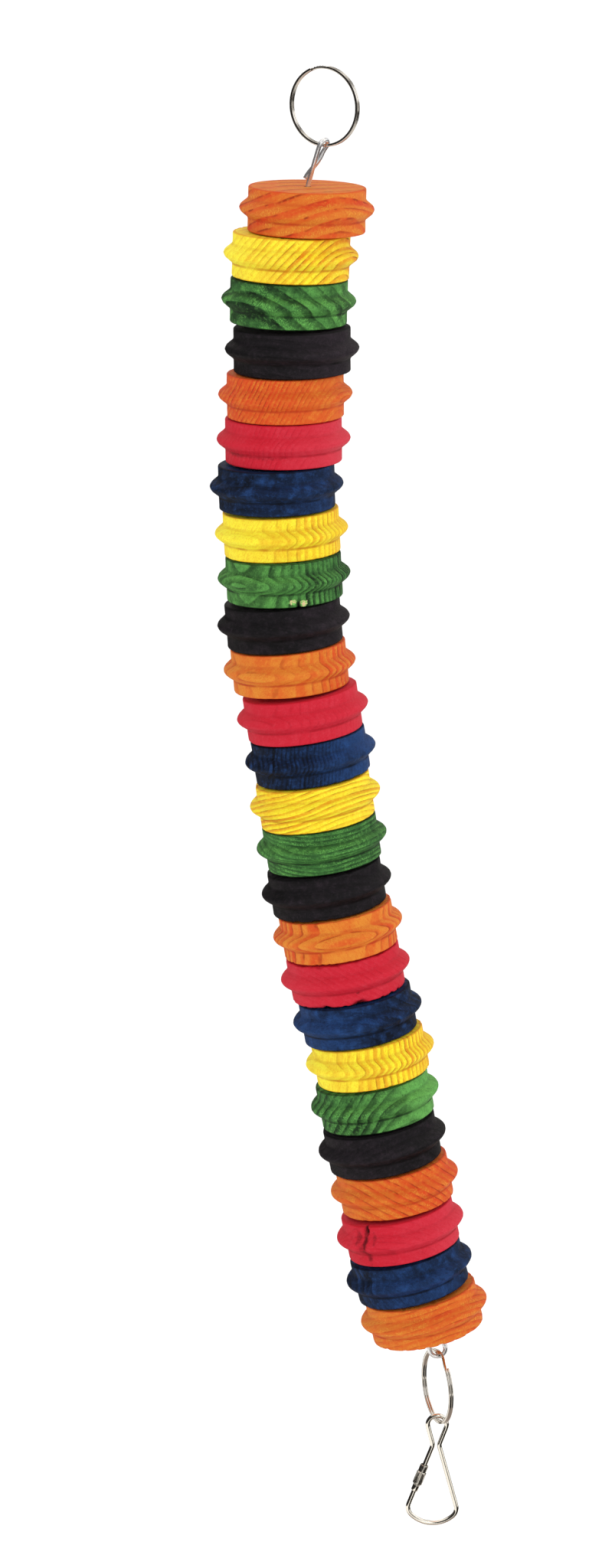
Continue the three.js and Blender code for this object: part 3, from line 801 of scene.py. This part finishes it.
def turn_disc(name, sizes, mouth_radius):
    """Models half a section of a disc as an outline, rounds it and spins it about its bore."""
    half = sizes.thickness / 2
    shoulder = half - sizes.upper_band
    foot = shoulder - sizes.bead_height
    crest = (shoulder + foot) / 2
    middle = (sizes.rim_radius + sizes.bore_radius) / 2
    disc = upright_rectangle(name, sizes.rim_radius - sizes.bore_radius, sizes.thickness, middle)
    cut_level((shoulder, foot))

    def on_bead_root(edge):
        return all(near(v.co.x, sizes.rim_radius) for v in edge.verts) and all(
            near(v.co.z, shoulder) or near(v.co.z, foot) for v in edge.verts
        )

    select_parts(disc, "EDGE", on_bead_root)
    reach = sizes.bead_radius - sizes.rim_radius
    bpy.ops.mesh.extrude_region_move(TRANSFORM_OT_translate={"value": (reach, 0, 0)})
    squeeze = sizes.nose_height / sizes.bead_height
    bpy.ops.transform.resize(value=(1, 1, squeeze), center_override=(0, 0, crest))
    if mouth_radius < sizes.bore_radius:
        select_parts(disc, "VERT", lambda v: near(v.co.x, sizes.bore_radius) and near(v.co.z, half))
        bpy.ops.transform.translate(value=(mouth_radius - sizes.bore_radius, 0, 0))
    bpy.ops.mesh.select_all(action="SELECT")
    bpy.ops.mesh.delete(type="ONLY_FACE")

    def inside(edge):
        level = near(edge.verts[0].co.z, edge.verts[1].co.z)
        rooted = any(near(v.co.z, shoulder) or near(v.co.z, foot) for v in edge.verts)
        upright = all(near(v.co.x, sizes.rim_radius) for v in edge.verts)
        tall = abs(edge.verts[0].co.z - edge.verts[1].co.z) > 0.9 * sizes.bead_height
        return (level and rooted) or (upright and tall)

    select_parts(disc, "EDGE", inside)
    bpy.ops.mesh.delete(type="EDGE")
    # The crest of the bead, the coves beside it and the outer edges
    rounding = (
        (lambda v: near(v.co.x, sizes.bead_radius), sizes.nose_round, 5),
        (lambda v: near(v.co.x, sizes.rim_radius) and abs(v.co.z) < half - MM, sizes.cove_round, 4),
        (lambda v: near(v.co.x, sizes.rim_radius) and abs(v.co.z) > half - MM, sizes.edge_round, 3),
    )
    for wanted, offset, segments in rounding:
        select_parts(disc, "VERT", wanted)
        bpy.ops.mesh.bevel(offset=offset, segments=segments, affect="VERTICES")
    # The outer part shows, so it is cut fine enough to carry the grain
    outer_part = 12 * MM
    for longest in (6 * MM, 3 * MM, 1.5 * MM, 0.75 * MM):

        def long_outside(edge, longest=longest):
            return edge.calc_length() > longest and min(v.co.x for v in edge.verts) > outer_part

        select_parts(disc, "EDGE", long_outside)
        bpy.ops.mesh.subdivide(number_cuts=1)
    select_parts(disc, "EDGE", lambda e: e.calc_length() > 3 * MM)
    bpy.ops.mesh.subdivide(number_cuts=3)
    spin_round(sizes.steps)
    leave_edit()
    bpy.ops.object.shade_smooth_by_angle(angle=SHARP_ON_WOOD)
    return disc


def grain_at(point, cut, seed):
    """Ring count from the pith, and millimetres round and along the log, at a point in millimetres."""
    outwards = Vector(cut.rise).normalized()
    trunk = outwards.cross(Vector((0.3, 1.0, 0.1))).normalized()
    round_log = trunk.cross(outwards)
    from_front = point - FRONT_OF_DISC
    out = cut.pith + from_front.dot(outwards)
    aside = from_front.dot(round_log)
    distance = math.hypot(out, aside)
    waver = noise.noise(point / 15 + seed) * 0.8 + noise.noise(point / 6 - seed) * 0.15
    rings = (distance + waver * cut.spacing * 0.35) / cut.spacing
    return Vector((rings, cut.pith * math.atan2(aside, out), point.dot(trunk)))


def late_wood(rings):
    """How much of the dark, hard part of a year's growth a place is in."""
    growth = rings % 1
    return max(0.0, min(1.0, (growth - 0.35) / 0.4)) * max(0.0, min(1.0, (1 - growth) / 0.12))


# How the surface of a disc is worn, in millimetres: how far in from the rim, how deep the dents go,
# how far in from an edge it is torn, and how deep the tears go inwards and up or down
WORN_BAND = 2.5
DENT = 0.16
TORN_BAND = 1.2
TORN_IN = 1.1
TORN_UP = 0.7


def weather_disc(disc, number, cut, sizes):
    """Rounds the bead, moves the surface in for grain, wear, chips and cracks, stores the grain."""
    seed = Vector((number * 7.3, number * 3.1, number * 5.7))
    marks = [mark for mark in MARKS if mark.disc == number]
    half = sizes.thickness / MM / 2
    rim = sizes.rim_radius / MM
    reach = sizes.bead_radius / MM - rim
    root = sizes.bead_height / MM / 2
    crest = half - sizes.upper_band / MM - root
    names = ("grain", "turned", "finish", "wear")
    for name in names:
        disc.data.attributes.new(name, "FLOAT_VECTOR", "POINT")
    stored = {name: disc.data.attributes[name].data for name in names}
    for index, vertex in enumerate(disc.data.vertices):
        point = vertex.co / MM
        radius = math.hypot(point.x, point.y)
        turn = math.degrees(math.atan2(point.x, -point.y))
        stain = 0.0
        bare = 0.0
        sink = 0.0
        lift = 0.0
        if radius > rim - WORN_BAND:
            off = abs(point.z - crest) / root
            if off < 1:
                turned = rim + reach * math.cos(math.pi / 2 * off) ** 1.25
                sink += cut.bead * (radius - turned)
            point.xy *= (radius - sink) / radius
            stored["grain"][index].vector = grain_at(point, cut, seed)
            outer = min(1.0, (radius - rim + WORN_BAND) / 2)
            sink = cut.relief * late_wood(stored["grain"][index].vector.x) * outer
            sink += DENT * max(0.0, noise.noise(point / 7 + seed)) * outer
            edge = max(0.0, abs(point.z) - half + TORN_BAND) / TORN_BAND
            ragged = max(0.0, noise.noise(point / 1.7 - seed) - 0.25 + 0.25 * cut.rough)
            sink += edge * ragged * cut.rough * TORN_IN
            lift += edge * ragged * cut.rough * TORN_UP
            for mark in marks:
                around = math.radians(turn - mark.turn) * radius / mark.wide
                above = (point.z - mark.height) / mark.high
                far = math.hypot(around, above) + 0.35 * noise.noise(point / 0.9 + seed)
                share = max(0.0, min(1.0, 1.5 - far))
                sink += mark.deep * share
                stain = max(stain, mark.stain * share)
                bare = max(bare, mark.bare * share)
            radius = math.hypot(point.x, point.y)
            point.xy *= (radius - sink) / radius
        else:
            stored["grain"][index].vector = grain_at(point, cut, seed)
        stored["turned"][index].vector = point
        point.z -= math.copysign(lift, point.z)
        vertex.co = point * MM
        pale = cut.tone + cut.wash * math.cos(math.radians(turn - cut.wash_at))
        worn = max(0.0, math.cos(math.radians(turn - cut.wash_at))) * cut.wash
        lines = cut.lines * max(0.1, 1 - 2 * worn)
        stored["finish"][index].vector = (lines, stain, bare)
        stored["wear"][index].vector = (cut.flecks, cut.blotch, pale)
    disc.data.update()


class OBJECT_OT_wooden_discs(bpy.types.Operator):
    """Turns the wooden discs and threads them in their places on the wire"""

    bl_idname = "object.wooden_discs"
    bl_label = "Wooden discs"

    def execute(self, context):
        toy = context.scene.disc_toy
        sizes = toy.discs
        plain = turn_disc("plain_disc", sizes, sizes.bore_radius)
        top = turn_disc("top_disc", sizes, sizes.mouth_radius)
        woods = {}
        for dye in ("orange", "yellow", "green", "black", "red", "blue"):
            early, late, pale = (tuple(getattr(toy.dyes, dye + part)) for part in ("", "_late", "_pale"))
            woods[dye] = dyed_wood(dye, early, late, pale, tuple(toy.dyes.bare), sizes)
        for index, node in enumerate(DISC_NAMES):
            number = index + 1
            dye = node.rsplit("_", 1)[1]
            model = top if index == 0 else plain
            disc = model.copy()
            disc.data = model.data.copy()
            disc.name = f"turned_{node}"
            disc.data.name = disc.name
            context.scene.collection.objects.link(disc)
            weather_disc(disc, number, CUTS[index], sizes)
            joint = JOINTS[f"disc_{number:02d}_spin"]
            place_piece(disc, standing_on(Vector(joint["axis"])), Vector(joint["pos_m"]))
            hand_over(disc, body_of_node(node), node, woods[dye])
        for model in (plain, top):
            bpy.data.objects.remove(model)
        return {"FINISHED"}


# Wire, rings and link


def smooth_from_solid(node, name, radius, sides, crease_over):
    """Rounds a copy of a solid that was swept with few sides, and keeps it as thick as its wire.

    Its cut ends, where two faces meet at more than crease_over degrees, stay crisp.
    """
    source = frame["nodes"][node]
    piece = source.copy()
    piece.data = source.data.copy()
    piece.parent = None
    for key in list(piece.keys()):
        del piece[key]
    piece.name = name
    piece.data.name = name
    piece.data.materials.clear()
    bpy.context.scene.collection.objects.link(piece)
    edit(piece)
    bpy.ops.mesh.select_all(action="SELECT")
    bpy.ops.mesh.remove_doubles(threshold=TOUCHING)
    bpy.ops.mesh.tris_convert_to_quads(face_threshold=math.radians(40), shape_threshold=math.radians(60))
    swell = radius * (3 / (2 + math.cos(2 * math.pi / sides)) - 1)
    bpy.ops.transform.shrink_fatten(value=swell)
    cut_end = math.radians(crease_over)
    select_parts(piece, "EDGE", lambda e: len(e.link_faces) == 2 and e.calc_face_angle(0) > cut_end)
    bpy.ops.transform.edge_crease(value=0.9)
    leave_edit()
    modifier = piece.modifiers.new("Rounding", "SUBSURF")
    modifier.levels = 2
    modifier.render_levels = 2
    bpy.ops.object.modifier_apply(modifier=modifier.name)
    bpy.ops.object.shade_smooth_by_angle(angle=SHARP_ON_SWEPT)
    return piece


class OBJECT_OT_core_wire(bpy.types.Operator):
    """Rounds the bent core wire with its two eyes"""

    bl_idname = "object.core_wire"
    bl_label = "Core wire"

    def execute(self, context):
        hardware = context.scene.disc_toy.hardware
        wire = smooth_from_solid(
            "core_wire", "bent_core_wire", hardware.wire_radius, sides=8, crease_over=62
        )
        material = plated_steel("wire_steel", tuple(hardware.wire_grey), DRAWN_WIRE, WIRE_METAL)
        hand_over(wire, "core_wire", "core_wire", material)
        return {"FINISHED"}


def wind_ring(name, hardware, jog_angle, nick):
    """Spins a strip's section through two turns, then shifts the turns side by side.

    nick is how deep the strip's outer edge is nicked along the jog.
    """
    mean_radius = hardware.ring_radius - hardware.strip_width / 2
    ring = upright_rectangle(name, hardware.strip_width, hardware.strip_thickness)
    bpy.ops.mesh.select_all(action="SELECT")
    bpy.ops.mesh.bevel(offset=0.16 * MM, segments=3, affect="VERTICES")
    bpy.ops.transform.translate(value=(mean_radius, 0, 0))
    leave_edit()
    section = len(ring.data.vertices)
    turned = 4 * math.pi - jog_angle
    steps = round(hardware.ring_steps * turned / (2 * math.pi))
    edit(ring)
    bpy.ops.mesh.select_all(action="SELECT")
    bpy.ops.mesh.spin(steps=steps, angle=-turned, center=(0, 0, 0), axis=(0, 0, 1))
    leave_edit()
    shift = (hardware.ring_depth - hardware.strip_thickness) / 2
    straight = 2 * math.pi - jog_angle
    for index, vertex in enumerate(ring.data.vertices):
        step = index // section
        share = max(0.0, min(1.0, (turned * step / steps - straight) / jog_angle))
        vertex.co.z += shift * math.cos(math.pi * share)
        out = math.hypot(vertex.co.x, vertex.co.y)
        if 0 < share < 1 and step % 2 and out > mean_radius:
            vertex.co.xy *= (out - nick) / out
    edit(ring)
    bpy.ops.mesh.select_all(action="SELECT")
    bpy.ops.mesh.normals_make_consistent(inside=False)
    leave_edit()
    bpy.ops.object.shade_smooth_by_angle(angle=SHARP_ON_WIRE)
    return ring


class OBJECT_OT_split_rings(bpy.types.Operator):
    """Winds the top and the bottom split ring"""

    bl_idname = "object.split_rings"
    bl_label = "Split rings"

    def execute(self, context):
        hardware = context.scene.disc_toy.hardware
        material = plated_steel("ring_steel", tuple(hardware.ring_nickel), BRIGHT_PLATING)
        # Each ring's solid, name and body, then how far round it the jog lies and how far it is turned
        # from facing the front, in degrees, and how deep its nicks are
        rings = (
            ("top_split_ring", "wound_top_ring", "top_ring", 97, -33, 0.3 * MM),
            ("bottom_split_ring", "wound_bottom_ring", "bottom_ring", 62, -70, 0.0),
        )
        jog_angle = math.radians(30)
        for node, name, body, jog_at, turn, nick in rings:
            ring = wind_ring(name, hardware, jog_angle, nick)
            low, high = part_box(node)
            start = Matrix.Rotation(math.radians(jog_at) + jog_angle / 2, 3, "Z")
            upright = Matrix.Rotation(math.radians(turn), 3, "Z") @ Matrix.Rotation(math.pi / 2, 3, "X")
            place_piece(ring, upright @ start, (low + high) / 2)
            hand_over(ring, body, node, material)
        return {"FINISHED"}


def lead_wire(name, radius, sides, point, heading, moves):
    """Leads a wire's round section from a point along straights and bends in an upright plane.

    heading is turned from straight up towards the right. A move is a straight, as its length, or
    a bend, as its radius, its angle and which way it turns.
    """
    deselect_all()
    narrowed = 1 - END_ROUNDING
    bpy.ops.mesh.primitive_circle_add(vertices=sides, radius=narrowed * radius, location=(0, 0, 0))
    wire = named(name)
    wire.data.transform(Matrix.Translation(point) @ Matrix.Rotation(heading, 4, "Y"))
    edit(wire, "EDGE")
    bpy.ops.mesh.select_all(action="SELECT")

    def ahead():
        return Vector((math.sin(heading), 0, math.cos(heading)))

    lip = END_ROUNDING * radius
    bpy.ops.mesh.extrude_region_move(TRANSFORM_OT_translate={"value": ahead() * lip})
    point = point + ahead() * lip
    bpy.ops.transform.resize(value=(1 / narrowed,) * 3, center_override=point)
    for move in moves:
        if len(move) == 1:
            pieces = max(1, round(move[0] / (2 * MM)))
            piece = ahead() * move[0] / pieces
            for _ in range(pieces):
                bpy.ops.mesh.extrude_region_move(TRANSFORM_OT_translate={"value": piece})
            point = point + ahead() * move[0]
            continue
        bend_radius, angle, way = move
        aside = Vector((math.cos(heading), 0, -math.sin(heading))) * way
        centre = point + aside * bend_radius
        steps = max(4, round(math.degrees(angle) / 6))
        bpy.ops.mesh.spin(steps=steps, angle=-way * angle, center=centre, axis=(0, 1, 0))
        heading += way * angle
        point = centre - Vector((math.cos(heading), 0, -math.sin(heading))) * way * bend_radius
    bpy.ops.mesh.extrude_region_move(TRANSFORM_OT_translate={"value": ahead() * lip})
    point = point + ahead() * lip
    bpy.ops.transform.resize(value=(narrowed,) * 3, center_override=point)
    select_parts(wire, "EDGE", lambda e: e.is_boundary)
    bpy.ops.mesh.fill_holes(sides=sides)
    bpy.ops.mesh.select_all(action="SELECT")
    bpy.ops.mesh.normals_make_consistent(inside=False)
    leave_edit()
    bpy.ops.object.shade_smooth_by_angle(angle=SHARP_ON_WIRE)
    return wire


def leg_angle(link):
    """The angle between a leg and the link's middle line."""
    aside = link.corner_half_span - link.neck_half_gap
    below = link.corner_drop - link.neck_drop
    return math.atan2(aside, below) + math.asin(link.corner_radius / math.hypot(aside, below))


def left_leg_place(link, from_neck):
    """A place on the left leg of the hanging link, and the way the leg runs up from there."""
    leg = leg_angle(link)
    neck = Vector((-link.neck_half_gap, 0, -link.neck_drop))
    upwards = Vector((math.sin(leg), 0, math.cos(leg)))
    lean = Matrix.Rotation(link.lean, 3, "Y")
    loop_middle = Vector(JOINTS["link_swing"]["pos_m"]) - lean @ Vector((0, 0, link.loop_seat))
    return loop_middle + lean @ (neck - upwards * from_neck), lean @ upwards


def link_moves(link, stub_top, mouth):
    """The straights and bends of the link's wire, from the stub's top round to the mouth's upper end."""
    leg = leg_angle(link)
    depth = link.foot_drop - link.corner_drop
    chord = link.corner_half_span**2 + depth**2 - link.corner_radius**2
    foot_radius = chord / (2 * (depth - link.corner_radius))
    foot_span = math.atan2(link.corner_half_span, foot_radius - depth)
    corner_turn = math.pi / 2 + leg - foot_span
    aside = link.corner_half_span - link.neck_half_gap
    below = link.corner_drop - link.neck_drop
    leg_length = math.sqrt(aside**2 + below**2 - link.corner_radius**2)
    neck_reach = math.hypot(link.neck_half_gap, link.neck_drop)
    flare = math.acos(link.loop_radius / neck_reach) + math.atan2(link.neck_half_gap, link.neck_drop)
    into_loop = math.pi / 2 - flare
    to_loop = math.sqrt(neck_reach**2 - link.loop_radius**2)
    neck_turn = leg + into_loop
    spared = link.neck_radius * math.tan(neck_turn / 2)
    return (
        (leg_length - stub_top,),
        (link.corner_radius, corner_turn, -1),
        (foot_radius, 2 * foot_span, -1),
        (link.corner_radius, corner_turn, -1),
        (leg_length - spared,),
        (link.neck_radius, neck_turn, 1),
        (to_loop - spared,),
        (link.loop_radius, math.pi + 2 * into_loop, -1),
        (to_loop - spared,),
        (link.neck_radius, neck_turn, 1),
        (stub_top - mouth - spared,),
    )


class OBJECT_OT_pear_link(bpy.types.Operator):
    """Bends the pear link from wire and puts the boss on its stub"""

    bl_idname = "object.pear_link"
    bl_label = "Pear link"

    def execute(self, context):
        hardware = context.scene.disc_toy.hardware
        link = context.scene.disc_toy.link
        stub_top = hardware.boss_from_neck - hardware.stub_length
        heading = math.pi + leg_angle(link) + link.lean
        start, _ = left_leg_place(link, stub_top)
        moves = link_moves(link, stub_top, hardware.mouth)
        wire = lead_wire("bent_pear_link", hardware.link_wire_radius, 20, start, heading, moves)
        boss = turn_boss(hardware)
        place, axis = left_leg_place(link, hardware.boss_from_neck)
        place_piece(boss, standing_on(axis), place)
        make_active(wire)
        boss.select_set(True)
        bpy.ops.object.join()
        material = plated_steel("link_steel", tuple(hardware.nickel), BRIGHT_PLATING)
        hand_over(wire, "pear_link", "pear_link", material)
        return {"FINISHED"}


def turn_boss(hardware):
    """Turns the boss that the screw sleeve closes on, as a short bar with soft edges."""
    deselect_all()
    length = hardware.boss_length
    bpy.ops.mesh.primitive_cylinder_add(
        vertices=32, radius=hardware.boss_radius, depth=length, location=(0, 0, -length / 2)
    )
    boss = named("link_boss")
    edit(boss, "EDGE")
    select_parts(boss, "EDGE", lambda e: near(e.verts[0].co.z, e.verts[1].co.z))
    bpy.ops.mesh.bevel(offset=0.25 * MM, segments=3)
    leave_edit()
    bpy.ops.object.transform_apply(location=True, rotation=True, scale=True)
    bpy.ops.object.shade_smooth_by_angle(angle=SHARP_ON_WIRE)
    return boss


def turn_sleeve(hardware):
    """Spins the sleeve's section about its bore and presses the flutes into its thick part."""
    half = hardware.sleeve_length / 2
    step = half - hardware.collar_length
    wall = hardware.sleeve_radius - hardware.sleeve_bore
    middle = hardware.sleeve_bore + wall / 2
    sleeve = upright_rectangle("fluted_sleeve", wall, hardware.sleeve_length, middle)
    # At the collar, where the flutes run out under it, and where they start near the other end
    cut_level((step, step - 0.3 * MM, step - 0.9 * MM, 0.9 * MM - half))
    bpy.ops.mesh.select_all(action="SELECT")
    bpy.ops.mesh.delete(type="ONLY_FACE")

    def inner_rung(edge):
        level = near(edge.verts[0].co.z, edge.verts[1].co.z)
        return level and abs(abs(edge.verts[0].co.z) - half) > 5 * HAIR

    select_parts(sleeve, "EDGE", inner_rung)
    bpy.ops.mesh.delete(type="EDGE")
    outside = hardware.sleeve_radius - HAIR
    select_parts(sleeve, "VERT", lambda v: v.co.x > outside and v.co.z > step - HAIR)
    bpy.ops.transform.translate(value=(hardware.collar_radius - hardware.sleeve_radius, 0, 0))
    outside = hardware.collar_radius - HAIR
    select_parts(sleeve, "VERT", lambda v: v.co.x > outside and near(abs(v.co.z), half))
    bpy.ops.mesh.bevel(offset=0.22 * MM, segments=3, affect="VERTICES")
    spin_round(12 * hardware.flutes)
    pitch = 360 / hardware.flutes
    pressed = 0.10 * MM
    # Each flute is pressed in twice, its middle first and then its whole width, in degrees
    for reach in (2.0, 4.0):

        def in_flute(vertex, reach=reach):
            turn = math.degrees(math.atan2(vertex.co.y, vertex.co.x)) % pitch
            thick = math.hypot(vertex.co.x, vertex.co.y) > hardware.sleeve_radius - 0.2 * MM
            return thick and vertex.co.z < step - 0.5 * MM and min(turn, pitch - turn) < reach

        select_parts(sleeve, "VERT", in_flute)
        bpy.ops.transform.shrink_fatten(value=-pressed)
    leave_edit()
    bpy.ops.object.shade_smooth_by_angle(angle=SHARP_ON_FLUTES)
    return sleeve


class OBJECT_OT_screw_sleeve(bpy.types.Operator):
    """Turns and flutes the sleeve that closes the pear link"""

    bl_idname = "object.screw_sleeve"
    bl_label = "Screw sleeve"

    def execute(self, context):
        hardware = context.scene.disc_toy.hardware
        sleeve = turn_sleeve(hardware)
        middle = hardware.sleeve_from_neck + hardware.sleeve_length / 2
        place, axis = left_leg_place(context.scene.disc_toy.link, middle)
        place_piece(sleeve, standing_on(axis), place)
        material = plated_steel("sleeve_steel", tuple(hardware.sleeve_nickel), WORN_PLATING)
        hand_over(sleeve, "screw_sleeve", "screw_sleeve", material)
        return {"FINISHED"}


# Stage

# The middle of the toy, which the lights face
TOY_MIDDLE = Vector((0.0, 0.0, -0.26))


def soft_light(name, where, size, energy):
    bpy.ops.object.light_add(type="AREA", location=where)
    light = bpy.context.object
    light.name = name
    light.data.size = size
    light.data.energy = energy
    light.rotation_euler = (TOY_MIDDLE - Vector(where)).to_track_quat("-Z", "Y").to_euler()


def studio_air():
    """A pale studio round the toy, with a few dark flags that give the bright metal its streaks."""
    wall, ground = (1.22, 1.17, 1.08), (0.42, 0.34, 0.29)
    dome_low, dome_high = (1.46, 1.45, 1.43), (0.98, 0.98, 0.98)
    flag_dark = (0.014, 0.012, 0.011)
    # How softly a flag ends, in degrees round the toy and in height
    blur, blur_up = 3, 0.04
    world = bpy.data.worlds.new("studio")
    bpy.context.scene.world = world
    air = Shading(world, "Background")
    rays = air.node("ShaderNodeLightPath").outputs
    direction = air.split(air.node("ShaderNodeTexCoord").outputs["Generated"])
    turn = air.math("ARCTAN2", direction[0], air.math("MULTIPLY", direction[1], -1.0))
    bright = air.mix(air.ramp(direction[2], -0.55, -0.85), wall, ground)
    # Each flag's place round the toy and half its width, in degrees, then its height and half its span
    flags = (
        (-75, 77, 0.24, 0.48),
        (62, 55, -0.49, 0.28),
        (124, 21, 0.12, 0.53),
        (-158, 15, -0.20, 0.42),
        (34, 14, 0.36, 0.48),
        (168, 8, 0.10, 0.60),
    )
    for at, wide, level, high in flags:
        aside = air.math("ABSOLUTE", air.math("SUBTRACT", turn, math.radians(at)))
        above = air.math("ABSOLUTE", air.math("SUBTRACT", direction[2], level))
        inside = air.math(
            "MULTIPLY",
            air.ramp(aside, math.radians(wide - blur), math.radians(wide + blur), 1.0, 0.0),
            air.ramp(above, high - blur_up, high + blur_up, 1.0, 0.0),
        )
        bright = air.mix(inside, bright, flag_dark)
    dome = air.mix(air.ramp(direction[2], 0.25, 0.95), dome_low, dome_high)
    soft = air.mix(rays["Is Glossy Ray"], dome, bright)
    air.feed(air.shader.inputs["Color"], air.mix(rays["Is Camera Ray"], soft, (1, 1, 1)))


class SCENE_OT_disc_toy_stage(bpy.types.Operator):
    """Lays the floor, sets the soft lights and places the camera"""

    bl_idname = "scene.disc_toy_stage"
    bl_label = "Stage"

    def execute(self, context):
        stage = context.scene.disc_toy.stage
        deselect_all()
        bpy.ops.mesh.primitive_plane_add(size=60, location=(0, 0, -stage.floor_drop))
        floor = named("floor")
        paper = Shading(bpy.data.materials.new("floor_paper"))
        paper.feed(paper.shader.inputs["Base Color"], (0.96, 0.96, 0.96))
        paper.shader.inputs["Roughness"].default_value = 0.9
        floor.data.materials.append(paper.owner)
        floor.visible_glossy = False
        studio_air()
        soft_light("key_light", where=(0.9, -1.9, 0.9), size=1.2, energy=5)
        soft_light("fill_light", where=(1.8, 0.9, 0.6), size=1.0, energy=5)
        context.scene.view_settings.view_transform = "Standard"

        back = Vector((0, math.cos(stage.camera_dip), -math.sin(stage.camera_dip)))
        level_right = Vector((1, 0, 0))
        level_up = level_right.cross(back)
        lean = stage.camera_roll
        up = level_up * math.cos(lean) + level_right * math.sin(lean)
        right = level_right * math.cos(lean) - level_up * math.sin(lean)
        turn = Matrix((right, up, -back)).transposed().to_4x4()
        where = Matrix.Translation((stage.camera_aside, -stage.camera_back, stage.camera_up))
        data = bpy.data.cameras.new("photo_camera")
        data.lens = stage.lens
        camera = bpy.data.objects.new("photo_camera", data)
        camera.matrix_world = where @ turn
        context.scene.collection.objects.link(camera)
        context.scene.camera = camera
        return {"FINISHED"}


class VIEW3D_PT_disc_toy(bpy.types.Panel):
    """Lists the steps that dress the toy"""

    bl_label = "Disc toy"
    bl_idname = "VIEW3D_PT_disc_toy"
    bl_space_type = "VIEW_3D"
    bl_region_type = "UI"
    bl_category = "Disc toy"

    def draw(self, context):
        for step in STEPS:
            self.layout.operator(step.bl_idname)


STEPS = (
    SCENE_OT_disc_toy_stage,
    OBJECT_OT_wooden_discs,
    OBJECT_OT_core_wire,
    OBJECT_OT_split_rings,
    OBJECT_OT_pear_link,
    OBJECT_OT_screw_sleeve,
)
SETTINGS = (WoodenDiscSizes, WoodDyes, HardwareSizes, PearLinkSizes, StageLook, ToySettings)


def register():
    for made in (*SETTINGS, *STEPS, VIEW3D_PT_disc_toy):
        bpy.utils.register_class(made)
    bpy.types.Scene.disc_toy = PointerProperty(type=ToySettings)


def unregister():
    del bpy.types.Scene.disc_toy
    for made in (VIEW3D_PT_disc_toy, *reversed(STEPS), *reversed(SETTINGS)):
        bpy.utils.unregister_class(made)


def main():
    register()
    bpy.ops.scene.disc_toy_stage()
    bpy.ops.object.wooden_discs()
    bpy.ops.object.core_wire()
    bpy.ops.object.split_rings()
    bpy.ops.object.pear_link()
    bpy.ops.object.screw_sleeve()


if __name__ == "__main__":
    main()
